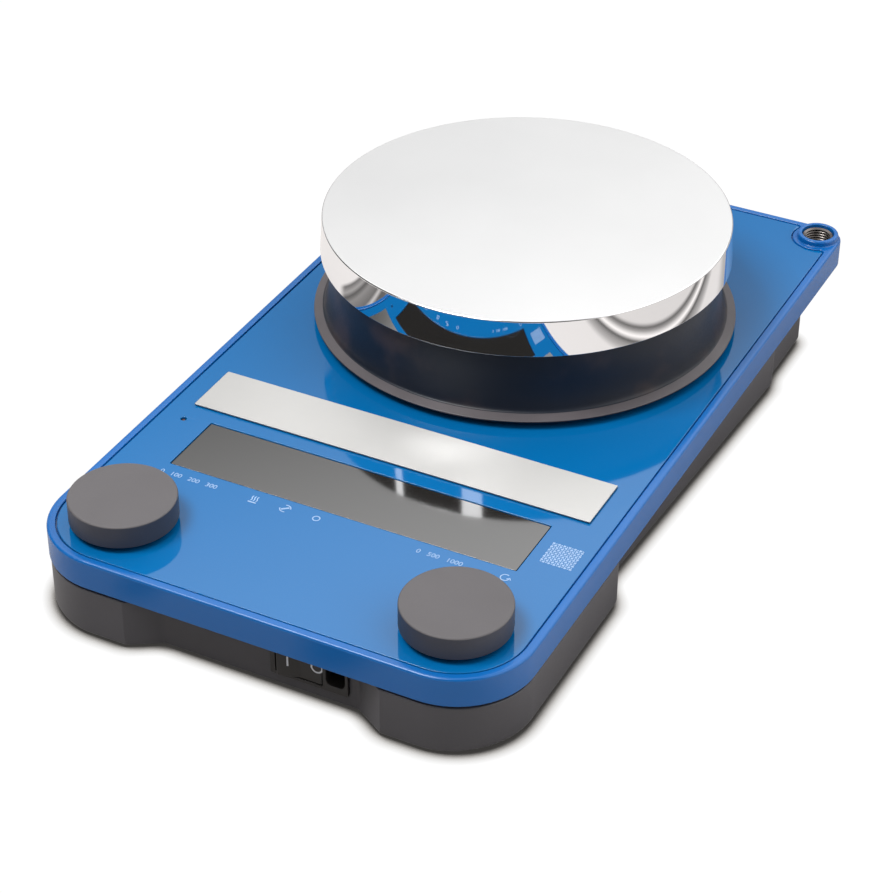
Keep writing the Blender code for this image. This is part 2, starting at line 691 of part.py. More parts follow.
def make_top_cover():
    """The blue casting: a roof and side walls, open below, with its posts."""
    cover = prism("top_cover", cover_outline(), COVER_UNDERSIDE, COVER_TOP)
    bevel(cover, COVER_EDGE)
    inside = prism(
        "cover_inside", cover_outline(COVER_WALL), COVER_UNDERSIDE - CUT_OVERRUN, CEILING_Z, CUTTERS
    )
    cut(cover, inside)
    posts = []
    for number, place in enumerate(SCREW_PLACES, 1):
        low = SCREW_JOINT_Z + SEAT_GAP
        posts.append(
            cutter_rod(
                f"cover_post_{number}", SCREW_BOSS_RADIUS, low, POCKET_Z, place, SMALL_STEPS
            )
        )
    for number, place in enumerate(display_board_posts(), 1):
        low = DISPLAY_BOARD_TOP + SEAT_GAP
        posts.append(
            cutter_rod(f"board_post_{number}", BOARD_POST_RADIUS, low, POCKET_Z, place, SMALL_STEPS)
        )
    boss_foot = COVER_UNDERSIDE + BOSS_POST_RISE
    boss = cutter_rod("rod_boss", BOSS_RADIUS, boss_foot, BOSS_TOP, (BOSS_X, BOSS_Y))
    add(cover, *posts, boss)
    pocket = cover_pocket(
        "panel_pocket", RIM_WIDTH, POCKET_Z, COVER_TOP + CUT_OVERRUN, BOSS_RADIUS + BOSS_PAD
    )
    high = BOSS_TOP + CUT_OVERRUN
    low = COVER_UNDERSIDE - CUT_OVERRUN
    holes = [
        cutter_rod("drive_hole", COVER_HOLE_RADIUS, low, high, (0, PLATE_Y)),
        cutter_rod("boss_bore", SOCKET_RADIUS + SEAT_GAP, low, high, (BOSS_X, BOSS_Y), SMALL_STEPS),
        cutter_rod("lamp_hole", LAMP_RADIUS + SEAT_GAP, low, high, (LAMP_X, LAMP_Y), SMALL_STEPS),
        cutter_box(
            "lcd_hole",
            (WINDOW_WIDTH - 2 * WINDOW_LEDGE, WINDOW_DEPTH - 2 * WINDOW_LEDGE, COVER_SIDE),
            (0, WINDOW_Y, COVER_TOP),
        ),
    ]
    for side in (-1, 1):
        holes.append(
            cutter_rod(
                f"knob_hole_{side}", KNOB_HOLE_RADIUS, low, high, (side * KNOB_X, KNOB_Y),
                SMALL_STEPS,
            )
        )
    for number, place in enumerate(SCREW_PLACES, 1):
        holes.append(
            cutter_rod(
                f"cover_thread_{number}",
                SCREW_RADIUS + SEAT_GAP,
                low,
                SCREW_JOINT_Z + SCREW_REACH + SEAT_GAP,
                place,
                SMALL_STEPS,
            )
        )
    return finish(cut(cover, pocket, *holes), "cover_blue")


def make_cover_panel():
    """The smooth panel that lies in the cover's top."""
    low = POCKET_Z + SEAT_GAP
    panel = prism("cover_panel", cover_outline(RIM_WIDTH + PANEL_GROOVE), low, PANEL_TOP)
    bottom = low - CUT_OVERRUN
    high = PANEL_TOP + CUT_OVERRUN
    window_size = (WINDOW_WIDTH + 2 * SEAT_GAP, WINDOW_DEPTH + 2 * SEAT_GAP, COVER_SIDE)
    tools = [
        cutter_rod(
            "panel_boss_cut", BOSS_RADIUS + BOSS_PAD + PANEL_GROOVE, bottom, high, (BOSS_X, BOSS_Y)
        ),
        cutter_rod("panel_drive_hole", PANEL_HOLE_RADIUS, bottom, high, (0, PLATE_Y)),
        cutter_box("panel_window", window_size, (0, WINDOW_Y, COVER_TOP)),
        cutter_rod(
            "panel_lamp_hole", LAMP_RADIUS + SEAT_GAP, bottom, high, (LAMP_X, LAMP_Y), SMALL_STEPS
        ),
    ]
    for side in (-1, 1):
        tools.append(
            cutter_rod(
                f"panel_knob_hole_{side}", KNOB_HOLE_RADIUS, bottom, high, (side * KNOB_X, KNOB_Y),
                SMALL_STEPS,
            )
        )
    return finish(cut(panel, *tools), "panel_blue")


def make_panel_fittings():
    """The steel strip, the display window and the small lamp."""
    strip = box(
        "badge_strip",
        (BADGE_WIDTH, BADGE_DEPTH, BADGE_THICKNESS),
        (0, BADGE_Y, PANEL_TOP + SEAT_GAP + BADGE_THICKNESS / 2),
    )
    finish(strip, "badge_steel")
    window_low = POCKET_Z + SEAT_GAP
    window = box(
        "display_window",
        (WINDOW_WIDTH, WINDOW_DEPTH, WINDOW_THICKNESS),
        (0, WINDOW_Y, window_low + WINDOW_THICKNESS / 2),
    )
    finish(window, "window_grey")
    flange_high = CEILING_Z - SEAT_GAP
    flange_low = flange_high - LAMP_FLANGE_HEIGHT
    tip = PANEL_TOP - SEAT_GAP
    wide = LAMP_RADIUS + LAMP_FLANGE
    lamp = turned(
        "status_lamp",
        [
            (0, tip),
            (LAMP_RADIUS, tip),
            (LAMP_RADIUS, flange_high),
            (wide, flange_high),
            (wide, flange_low),
            (LAMP_RADIUS, flange_low),
            (LAMP_RADIUS, tip - LAMP_LENGTH),
            (0, tip - LAMP_LENGTH),
        ],
        (LAMP_X, LAMP_Y, 0),
        steps=SMALL_STEPS,
        closed=False,
    )
    finish(lamp, "lamp")


def make_rod_socket():
    """The threaded steel bush for a support rod."""
    high = BOSS_TOP - SOCKET_SINK
    socket = ring(
        "rod_socket",
        SOCKET_BORE_RADIUS,
        SOCKET_RADIUS,
        high - SOCKET_LENGTH,
        high,
        (BOSS_X, BOSS_Y),
        steps=ROUND_STEPS,
    )
    return finish(socket, "plain_steel")


# Display, its board and the encoders

def display_board_posts():
    """Where the cover's posts meet the display board."""
    x = DISPLAY_BOARD_WIDTH / 2 - BOARD_POST_INSET
    y = DISPLAY_BOARD_DEPTH / 2 - BOARD_POST_INSET
    back = DISPLAY_BOARD_Y + y
    return [(-x, back), (x, back), (0, DISPLAY_BOARD_Y - y)]


def make_display():
    """The display module and the board that carries the encoders."""
    lcd = box(
        "lcd_module",
        (LCD_WIDTH, LCD_DEPTH, LCD_HEIGHT),
        (0, WINDOW_Y, CEILING_Z - SEAT_GAP - LCD_HEIGHT / 2),
    )
    finish(lcd, "window_grey")
    board = box(
        "display_board",
        (DISPLAY_BOARD_WIDTH, DISPLAY_BOARD_DEPTH, BOARD_THICKNESS),
        (0, DISPLAY_BOARD_Y, DISPLAY_BOARD_TOP - BOARD_THICKNESS / 2),
    )
    finish(board, "board_green")


def make_encoder(name, x):
    """A push encoder: its body, the plunger inside and the shaft to the knob."""
    place = (x, KNOB_Y)
    body = box(
        name + "_encoder_body",
        (ENCODER_WIDTH, ENCODER_DEPTH, ENCODER_HEIGHT),
        (x, KNOB_Y, ENCODER_BOTTOM + ENCODER_HEIGHT / 2),
    )
    bore = cutter_rod(
        name + "_encoder_bore",
        KNOB_SHAFT_RADIUS + SEAT_GAP,
        ENCODER_BOTTOM + ENCODER_FLOOR,
        ENCODER_TOP + CUT_OVERRUN,
        place,
        SMALL_STEPS,
    )
    finish(cut(body, bore), "black_plastic")
    plunger = rod(
        name + "_encoder_plunger",
        KNOB_SHAFT_RADIUS,
        PLUNGER_Z,
        PLUNGER_Z + PLUNGER_HEIGHT,
        place,
        steps=SMALL_STEPS,
    )
    finish(plunger, "black_plastic")
    shaft = rod(
        name + "_encoder_shaft",
        KNOB_SHAFT_RADIUS,
        KNOB_SHAFT_Z,
        KNOB_BORE_TOP - SEAT_GAP,
        place,
        steps=SMALL_STEPS,
    )
    finish(shaft, "plain_steel")


def make_knob(name, x):
    """A flat disc knob, hollow below, with a hub for the shaft."""
    hollow_top = KNOB_TOP - KNOB_ROOF
    inner = KNOB_RADIUS - KNOB_WALL
    bore = KNOB_SHAFT_RADIUS + SEAT_GAP
    profile = [
        (0, KNOB_TOP),
        (KNOB_RADIUS - KNOB_EDGE, KNOB_TOP),
        (KNOB_RADIUS, KNOB_TOP - KNOB_EDGE),
        (KNOB_RADIUS, KNOB_BOTTOM),
        (inner, KNOB_BOTTOM),
        (inner, hollow_top),
        (KNOB_HUB_RADIUS, hollow_top),
        (KNOB_HUB_RADIUS, KNOB_BOTTOM),
        (bore, KNOB_BOTTOM),
        (bore, KNOB_BORE_TOP),
        (0, KNOB_BORE_TOP),
    ]
    knob = turned(name + "_knob", profile, (x, KNOB_Y, 0), closed=False)
    return finish(knob, "knob_grey")


# Housing, feet and screws

def make_base_housing():
    """The dark tub: floor, walls, front feet and the register that fits in the cover."""
    tall = REAR_WALL_TOP + CUT_OVERRUN
    housing = prism("base_housing", housing_outline(), PAD_PROUD, tall)
    shelf = prism(
        "housing_shelf",
        cover_outline(HOUSING_INSET / 2),
        COVER_UNDERSIDE + REGISTER_FLOOR_LIFT,
        tall - CUT_OVERRUN / 2,
        CUTTERS,
    )
    overhang = cutter_box(
        "housing_shelf_end",
        (2 * COVER_WIDTH, COVER_LENGTH, COVER_LENGTH),
        (0, REAR_WALL_Y - HOUSING_REAR_RADIUS - SEAT_GAP + COVER_LENGTH / 2, 0),
    )
    cut(shelf, overhang)
    add(housing, shelf)
    cut(housing, housing_top_trim(tall), housing_floor_trim())
    cavity = prism(
        "housing_cavity", housing_outline(HOUSING_WALL), FLOOR_Z, tall + CUT_OVERRUN, CUTTERS
    )
    cut(housing, cavity)
    add(housing, *housing_posts())
    cut(housing, *housing_holes())
    return finish(housing, "housing_grey")


def housing_top_trim(tall):
    """What the tall block loses above: all but the register and the rear wall."""
    width = 2 * COVER_WIDTH
    length = 2 * COVER_LENGTH
    high = tall + CUT_OVERRUN
    trim = cutter_box(
        "housing_top_trim", (width, length, high - HOUSING_TOP), (0, 0, (high + HOUSING_TOP) / 2)
    )
    register = prism(
        "register_keep",
        cover_outline(COVER_WALL + SEAT_GAP),
        HOUSING_TOP - CUT_OVERRUN,
        COVER_UNDERSIDE + REGISTER_TOP,
        CUTTERS,
    )
    wall_depth = HOUSING_REAR_RADIUS + SEAT_GAP + CUT_OVERRUN
    rear_wall = cutter_box(
        "rear_wall_keep",
        (width, wall_depth, REAR_WALL_TOP - HOUSING_TOP + CUT_OVERRUN),
        (
            0,
            REAR_WALL_Y + CUT_OVERRUN - wall_depth / 2,
            (REAR_WALL_TOP + HOUSING_TOP - CUT_OVERRUN) / 2,
        ),
    )
    return cut(trim, register, rear_wall)


def housing_floor_trim():
    """What the tall block loses below: all but the feet."""
    low = PAD_PROUD - CUT_OVERRUN
    trim = cutter_box(
        "housing_floor_trim",
        (2 * COVER_WIDTH, 2 * COVER_LENGTH, HOUSING_CLEARANCE - low),
        (0, 0, (HOUSING_CLEARANCE + low) / 2),
    )
    keep_low = low - CUT_OVERRUN
    keep_high = HOUSING_CLEARANCE + CUT_OVERRUN
    feet = []
    for side in (-1, 1):
        feet.append(prism(f"foot_keep_{side}", foot_outline(side), keep_low, keep_high, CUTTERS))
        place = (side * (HALF_WIDTH - REAR_PAD_INSET), REAR_WALL_Y - REAR_PAD_FROM_WALL)
        feet.append(
            cutter_rod(f"rear_foot_keep_{side}", REAR_FOOT_RADIUS, keep_low, keep_high, place)
        )
    return cut(trim, *feet)


def housing_posts():
    """Posts on the housing's floor, for the screws and the power board."""
    posts = []
    low = HOUSING_CLEARANCE + HOUSING_FLOOR / 2
    for number, place in enumerate(SCREW_PLACES, 1):
        posts.append(
            cutter_rod(
                f"housing_post_{number}", SCREW_BOSS_RADIUS, low, SCREW_JOINT_Z, place, SMALL_STEPS
            )
        )
    for number, place in enumerate(power_board_posts(), 1):
        high = FLOOR_Z + POWER_BOARD_LIFT
        posts.append(
            cutter_rod(f"power_post_{number}", BOARD_POST_RADIUS, low, high, place, SMALL_STEPS)
        )
    return posts


def housing_holes():
    """Screw holes, pad recesses, vents and the cut-outs in the front and rear walls."""
    holes = []
    for number, place in enumerate(SCREW_PLACES, 1):
        holes.append(
            cutter_rod(
                f"screw_hole_{number}",
                SCREW_RADIUS + RUNNING_GAP,
                0,
                SCREW_JOINT_Z + CUT_OVERRUN,
                place,
                SMALL_STEPS,
            )
        )
        holes.append(
            cutter_rod(
                f"screw_seat_{number}",
                SCREW_HEAD_RADIUS + RUNNING_GAP,
                -CUT_OVERRUN,
                SCREW_SEAT_HEIGHT,
                place,
                SMALL_STEPS,
            )
        )
    for number, place in enumerate(PAD_PLACES, 1):
        holes.append(
            cutter_rod(
                f"pad_recess_{number}",
                PAD_RADIUS + SEAT_GAP,
                -CUT_OVERRUN,
                PAD_PROUD + PAD_SINK,
                place,
            )
        )
    vent_y = PLATE_Y - VENT_FROM_PLATE_AXIS
    for index in range(VENT_COUNT):
        shift = (index - (VENT_COUNT - 1) / 2) * VENT_PITCH
        size = (VENT_WIDTH, VENT_LENGTH, 2 * FLOOR_Z)
        holes.append(cutter_box(f"vent_{index}", size, (shift, vent_y, FLOOR_Z)))
    gap = 2 * SEAT_GAP
    deep = 2 * HOUSING_WALL
    rear_middle = REAR_WALL_Y - HOUSING_WALL / 2
    holes.append(
        span_box(
            "switch_hole",
            (SWITCH_LEFT - SEAT_GAP, SWITCH_RIGHT + SEAT_GAP),
            (BAY_Y - CUT_OVERRUN, BAY_Y + HOUSING_WALL + CUT_OVERRUN),
            (SWITCH_LOW - SEAT_GAP, SWITCH_HIGH + SEAT_GAP),
        )
    )
    inlet_low = INLET_Z - INLET_BODY_HEIGHT / 2 - SEAT_GAP
    inlet_high = REAR_WALL_TOP + CUT_OVERRUN
    holes.append(
        cutter_box(
            "inlet_hole",
            (INLET_BODY_WIDTH + gap, deep, inlet_high - inlet_low),
            (INLET_X, rear_middle, (inlet_high + inlet_low) / 2),
        )
    )
    for name, radius, x, z in (
        ("fuse_hole", FUSE_BODY_RADIUS, FUSE_X, FUSE_Z),
        ("probe_hole", PROBE_BODY_RADIUS, PROBE_X, PROBE_Z),
    ):
        hole = cutter_rod(name, radius + SEAT_GAP, -deep / 2, deep / 2, (0, 0))
        hole.rotation_euler = (math.radians(90), 0, 0)
        hole.location = (x, rear_middle, z)
        holes.append(hole)
    return holes


def make_feet_and_screws():
    """Four rubber pads under the feet and the four screws up into the cover."""
    names = ("front_left", "front_right", "rear_left", "rear_right")
    for name, place in zip(names, PAD_PLACES):
        pad = rod("rubber_foot_" + name, PAD_RADIUS, 0, PAD_PROUD + PAD_SINK - SEAT_GAP, place)
        finish(pad, "rubber")
    head_top = SCREW_SEAT_HEIGHT - SEAT_GAP
    head_bottom = head_top - SCREW_HEAD_HEIGHT
    tip = SCREW_JOINT_Z + SCREW_REACH
    profile = [
        (0, tip),
        (SCREW_RADIUS, tip),
        (SCREW_RADIUS, head_top),
        (SCREW_HEAD_RADIUS, head_top),
        (SCREW_HEAD_RADIUS, head_bottom),
        (0, head_bottom),
    ]
    for name, place in zip(names, SCREW_PLACES):
        screw = turned(
            "housing_screw_" + name, profile, (*place, 0), steps=SMALL_STEPS, closed=False
        )
        finish(screw, "plain_steel")


# Heating plate, its heater and the shield

def make_heating_plate():
    """The plate: a thick disc with a recess below for the heater."""
    profile = [
        (0, PLATE_TOP),
        (PLATE_RADIUS - PLATE_EDGE, PLATE_TOP),
        (PLATE_RADIUS, PLATE_TOP - PLATE_EDGE),
        (PLATE_RADIUS, PLATE_BOTTOM),
        (PLATE_RECESS_RADIUS, PLATE_BOTTOM),
        (PLATE_RECESS_RADIUS, PLATE_CEILING),
        (0, PLATE_CEILING),
    ]
    plate = turned(
        "heating_plate", profile, (0, PLATE_Y, 0), steps=FINE_STEPS, closed=False
    )
    return finish(plate, "polished_steel")


def make_heater():
    """Heater ring, insulation, temperature sensor and the steel retainer below them."""
    centre = (0, PLATE_Y)
    heater = ring(
        "heater_ring",
        HEATER_INNER_RADIUS,
        HEATER_OUTER_RADIUS,
        HEATER_TOP - HEATER_THICKNESS,
        HEATER_TOP,
        centre,
    )
    finish(heater, "aluminium")
    insulation = ring(
        "insulation_disc",
        SENSOR_RADIUS + RUNNING_GAP,
        PLATE_RECESS_RADIUS - RUNNING_GAP,
        INSULATION_TOP - INSULATION_THICKNESS,
        INSULATION_TOP,
        centre,
    )
    finish(insulation, "ceramic_white")
    sensor = rod(
        "plate_sensor",
        SENSOR_RADIUS,
        INSULATION_TOP - INSULATION_THICKNESS,
        HEATER_TOP,
        centre,
        steps=SMALL_STEPS,
    )
    finish(sensor, "plain_steel")
    retainer = rod("heater_retainer", RETAINER_RADIUS, RETAINER_BOTTOM, RETAINER_TOP, centre)
    finish(retainer, "plain_steel")


def make_heat_shield():
    """The dark shield: an upright wall that flares into a lip above the panel."""
    flare_low = SHIELD_LIP_BOTTOM + 2 * SHIELD_LIP_EDGE
    lip_inner = SHIELD_TOP_RADIUS + SHIELD_FLARE
    outer = [(SHIELD_TOP_RADIUS, SHIELD_TOP)]
    for i in range(SHIELD_FLARE_STEPS + 1):
        angle = math.radians(90) * i / SHIELD_FLARE_STEPS
        radius = lip_inner - SHIELD_FLARE * math.cos(angle)
        outer.append((radius, flare_low + SHIELD_FLARE_HEIGHT * (1 - math.sin(angle))))
    lip = [
        (SHIELD_LIP_RADIUS - SHIELD_LIP_EDGE / 2, SHIELD_LIP_BOTTOM + SHIELD_LIP_EDGE * 3 / 2),
        (SHIELD_LIP_RADIUS, SHIELD_LIP_BOTTOM + SHIELD_LIP_EDGE),
        (SHIELD_LIP_RADIUS, SHIELD_LIP_BOTTOM),
    ]
    inner_radius = SHIELD_TOP_RADIUS - SHIELD_WALL
    inner = [(inner_radius, SHIELD_LIP_BOTTOM), (inner_radius, SHIELD_TOP)]
    shield = turned("heat_shield", outer + lip + inner, (0, PLATE_Y, 0), steps=FINE_STEPS)
    finish(shield, "shield_black")
    gasket_outer = SHIELD_LIP_RADIUS - GASKET_INSET
    gasket = ring(
        "shield_gasket",
        gasket_outer - GASKET_WIDTH,
        gasket_outer,
        PANEL_TOP + SEAT_GAP,
        SHIELD_LIP_BOTTOM - SEAT_GAP,
        (0, PLATE_Y),
    )
    finish(gasket, "rubber")


def make_standoffs():
    """Posts that carry the plate above the cover."""
    for number in range(STANDOFF_COUNT):
        angle = math.radians(90) + 2 * math.pi * number / STANDOFF_COUNT
        place = (
            STANDOFF_CIRCLE * math.cos(angle),
            PLATE_Y + STANDOFF_CIRCLE * math.sin(angle),
        )
        post = rod(
            f"plate_standoff_{number + 1}",
            STANDOFF_RADIUS,
            POCKET_Z + SEAT_GAP,
            RETAINER_BOTTOM - SEAT_GAP,
            place,
            steps=SMALL_STEPS,
        )
        finish(post, "ceramic_white")


# Motor and magnet drive

def make_motor():
    """The motor under the cover: mount, case, stator and two bearings."""
    centre = (0, PLATE_Y)
    bore = SHAFT_RADIUS + SEAT_GAP
    mount = ring(
        "motor_mount_plate",
        BEARING_RADIUS + SEAT_GAP,
        MOTOR_MOUNT_RADIUS,
        MOUNT_BOTTOM,
        MOUNT_TOP,
        centre,
    )
    finish(mount, "plain_steel")
    inner = MOTOR_CASE_RADIUS - MOTOR_CASE_WALL
    profile = [
        (0, CASE_FLOOR),
        (inner, CASE_FLOOR),
        (inner, CASE_TOP),
        (MOTOR_CASE_RADIUS, CASE_TOP),
        (MOTOR_CASE_RADIUS, CASE_BOTTOM),
        (0, CASE_BOTTOM),
    ]
    case = turned("motor_case", profile, (0, PLATE_Y, 0), closed=False)
    finish(case, "aluminium")
    stator = ring(
        "motor_stator",
        STATOR_INNER_RADIUS,
        inner - SEAT_GAP,
        STATOR_Z,
        STATOR_Z + STATOR_HEIGHT,
        centre,
    )
    finish(stator, "copper")
    for name, low in (
        ("lower_bearing", LOWER_BEARING_Z),
        ("upper_bearing", MOUNT_BOTTOM + MOTOR_MOUNT_THICKNESS / 2 - BEARING_HEIGHT / 2),
    ):
        bearing = ring(
            name, bore, BEARING_RADIUS, low, low + BEARING_HEIGHT, centre, steps=SMALL_STEPS
        )
        finish(bearing, "plain_steel")


def make_magnet_drive():
    """What turns: shaft, motor rotor, magnet holder and two magnets."""
    centre = (0, PLATE_Y)
    bore = SHAFT_RADIUS + SEAT_GAP
    shaft = rod(
        "motor_shaft",
        SHAFT_RADIUS,
        LOWER_BEARING_Z,
        HOLDER_TOP - SEAT_GAP,
        centre,
        steps=SMALL_STEPS,
    )
    finish(shaft, "plain_steel")
    rotor = ring(
        "motor_rotor",
        bore,
        STATOR_INNER_RADIUS - RUNNING_GAP,
        STATOR_Z,
        STATOR_Z + STATOR_HEIGHT,
        centre,
        steps=SMALL_STEPS,
    )
    finish(rotor, "magnet")
    disc_bottom = HOLDER_TOP - HOLDER_THICKNESS
    hub_bottom = disc_bottom - HOLDER_HUB_HEIGHT
    holder = turned(
        "magnet_holder",
        [
            (HOLDER_RADIUS, HOLDER_TOP),
            (HOLDER_RADIUS, disc_bottom),
            (HOLDER_HUB_RADIUS, disc_bottom),
            (HOLDER_HUB_RADIUS, hub_bottom),
            (bore, hub_bottom),
            (bore, HOLDER_TOP),
        ],
        (0, PLATE_Y, 0),
    )
    finish(holder, "aluminium")
    for number, side in enumerate((-1, 1), 1):
        magnet = rod(
            f"stir_magnet_{number}",
            MAGNET_RADIUS,
            MAGNET_TOP - MAGNET_HEIGHT,
            MAGNET_TOP,
            (side * MAGNET_CIRCLE, PLATE_Y),
            steps=SMALL_STEPS,
        )
        finish(magnet, "magnet")


# Power electronics

def power_board_posts():
    """Where the housing's posts meet the power board."""
    x = POWER_BOARD_WIDTH / 2 - BOARD_POST_INSET
    y = POWER_BOARD_DEPTH / 2 - BOARD_POST_INSET
    return [(a * x, POWER_BOARD_Y + b * y) for a in (-1, 1) for b in (-1, 1)]


def make_power_board():
    """The power board with its supply module and a finned heat sink."""
    board = box(
        "power_board",
        (POWER_BOARD_WIDTH, POWER_BOARD_DEPTH, BOARD_THICKNESS),
        (0, POWER_BOARD_Y, POWER_BOARD_Z + BOARD_THICKNESS / 2),
    )
    finish(board, "board_green")
    low = POWER_BOARD_TOP + SEAT_GAP
    module = box(
        "power_module",
        (MODULE_WIDTH, MODULE_DEPTH, MODULE_HEIGHT),
        (MODULE_X, POWER_BOARD_Y, low + MODULE_HEIGHT / 2),
    )
    finish(module, "black_plastic")
    sink = box(
        "triac_heatsink",
        (HEATSINK_WIDTH, HEATSINK_DEPTH, HEATSINK_HEIGHT),
        (HEATSINK_X, POWER_BOARD_Y, low + HEATSINK_HEIGHT / 2),
    )
    pitch = HEATSINK_WIDTH / (HEATSINK_FINS - HEATSINK_FIN_SHARE)
    slot = pitch * (1 - HEATSINK_FIN_SHARE)
    slots = []
    for index in range(HEATSINK_FINS - 1):
        x = HEATSINK_X + (index - (HEATSINK_FINS - 2) / 2) * pitch
        slots.append(
            cutter_box(
                f"heatsink_slot_{index}",
                (slot, 2 * HEATSINK_DEPTH, HEATSINK_HEIGHT),
                (x, POWER_BOARD_Y, low + HEATSINK_BASE + HEATSINK_HEIGHT / 2),
            )
        )
    finish(cut(sink, *slots), "aluminium")


# Switch and rear fittings

def rounded_outline(half_width, half_height, radius, steps):
    """A rectangle with round corners, about the origin."""
    x = half_width - radius
    y = half_height - radius
    points = []
    for centre, turn in (((x, -y), -90), ((x, y), 0), ((-x, y), 90), ((-x, -y), 180)):
        points += arc(centre, radius, turn, turn + 90, steps)
    return points


def span_box(name, x_range, y_range, z_range, collection=CUTTERS):
    """A block between two places along each axis."""
    ranges = (x_range, y_range, z_range)
    size = tuple(high - low for low, high in ranges)
    centre = tuple((high + low) / 2 for low, high in ranges)
    return box(name, size, centre, collection)


def make_power_switch():
    """The switch's frame, its rocker and the pin that the rocker tilts on."""
    bezel = span_box(
        "switch_frame",
        (SWITCH_LEFT - BEZEL_BORDER, SWITCH_RIGHT + BEZEL_BORDER),
        (BEZEL_FRONT, BEZEL_BACK),
        (SWITCH_LOW - BEZEL_BORDER, SWITCH_HIGH + BEZEL_BORDER),
        PART,
    )
    body = span_box(
        "switch_body",
        (SWITCH_LEFT, SWITCH_RIGHT),
        (BEZEL_FRONT + BEZEL_THICKNESS / 2, SWITCH_BACK),
        (SWITCH_LOW, SWITCH_HIGH),
    )
    cavity = span_box(
        "switch_cavity",
        (SWITCH_X - ROCKER_REACH - SEAT_GAP, SWITCH_X + ROCKER_REACH + SEAT_GAP),
        (BEZEL_FRONT - CUT_OVERRUN, SWITCH_BACK - SWITCH_FLOOR),
        (SWITCH_LOW + SWITCH_SHELL, SWITCH_HIGH - SWITCH_SHELL),
    )
    recess = prism(
        "switch_recess",
        rounded_outline(
            RECESS_WIDTH / 2, ROCKER_HEIGHT / 2 + SEAT_GAP, RECESS_CORNER, RECESS_CORNER_STEPS
        ),
        -CUT_OVERRUN,
        RECESS_DEPTH,
        CUTTERS,
    )
    recess.rotation_euler = (math.radians(-90), 0, 0)
    recess.location = (
        SWITCH_RIGHT - SWITCH_SHELL - RECESS_WIDTH / 2,
        BEZEL_FRONT + (RECESS_DEPTH - CUT_OVERRUN) / 2,
        SWITCH_Z,
    )
    finish(cut(add(bezel, body), cavity, recess), "black_plastic")

    front = -ROCKER_PIVOT_DEPTH - ROCKER_RISE
    belly = arc((0, 0), ROCKER_BELLY, 0, 180, ROCKER_BELLY_STEPS)
    outline = [
        (-ROCKER_HALF_LENGTH, front),
        (0, front + ROCKER_VEE),
        (ROCKER_HALF_LENGTH, front),
        (ROCKER_HALF_LENGTH, ROCKER_SHOULDER),
        *belly[1:-1],
        (-ROCKER_HALF_LENGTH, ROCKER_SHOULDER),
    ]
    rocker = prism("power_rocker", outline, -ROCKER_HEIGHT / 2, ROCKER_HEIGHT / 2)
    low = SWITCH_Z - ROCKER_HEIGHT / 2
    high = SWITCH_Z + ROCKER_HEIGHT / 2
    pivot = (SWITCH_X, ROCKER_PIVOT_Y)
    pin_hole = cutter_rod(
        "rocker_pin_hole",
        ROCKER_PIN_RADIUS + SEAT_GAP,
        low - CUT_OVERRUN,
        high + CUT_OVERRUN,
        pivot,
        SMALL_STEPS,
    )
    rocker.location = (*pivot, SWITCH_Z)
    rocker.rotation_euler = (0, 0, ROCKER_THROW)
    finish(cut(rocker, pin_hole), "black_plastic")
    pin = rod("rocker_pin", ROCKER_PIN_RADIUS, low, high, pivot, steps=SMALL_STEPS)
    finish(pin, "plain_steel")


def make_power_inlet():
    """The mains inlet: a shell with a cavity for the plug and three blades."""
    bezel_front = REAR_WALL_Y + SEAT_GAP
    bezel_back = bezel_front + INLET_BEZEL_THICKNESS
    inlet = box(
        "power_inlet",
        (INLET_BEZEL_WIDTH, INLET_BEZEL_THICKNESS, INLET_BEZEL_HEIGHT),
        (INLET_X, (bezel_front + bezel_back) / 2, INLET_Z),
    )
    body_back = bezel_front + INLET_BEZEL_THICKNESS / 2
    body_front = bezel_front - INLET_BODY_DEPTH
    body = cutter_box(
        "inlet_body",
        (INLET_BODY_WIDTH, body_back - body_front, INLET_BODY_HEIGHT),
        (INLET_X, (body_front + body_back) / 2, INLET_Z),
    )
    cavity_front = bezel_back - INLET_CAVITY_DEPTH
    cavity_back = bezel_back + CUT_OVERRUN
    cavity = cutter_box(
        "inlet_cavity",
        (INLET_CAVITY_WIDTH, cavity_back - cavity_front, INLET_CAVITY_HEIGHT),
        (INLET_X, (cavity_front + cavity_back) / 2, INLET_Z),
    )
    finish(cut(add(inlet, body), cavity), "black_plastic")
    pin_y = cavity_front + SEAT_GAP + INLET_PIN_LENGTH / 2
    for name, shift, rise in (
        ("inlet_pin_line", -INLET_PIN_PITCH, 0),
        ("inlet_pin_earth", 0, INLET_EARTH_RISE),
        ("inlet_pin_neutral", INLET_PIN_PITCH, 0),
    ):
        pin = box(
            name,
            (INLET_PIN_WIDTH, INLET_PIN_LENGTH, INLET_PIN_HEIGHT),
            (INLET_X + shift, pin_y, INLET_Z + rise - INLET_EARTH_RISE / 2),
        )
        finish(pin, "brass")


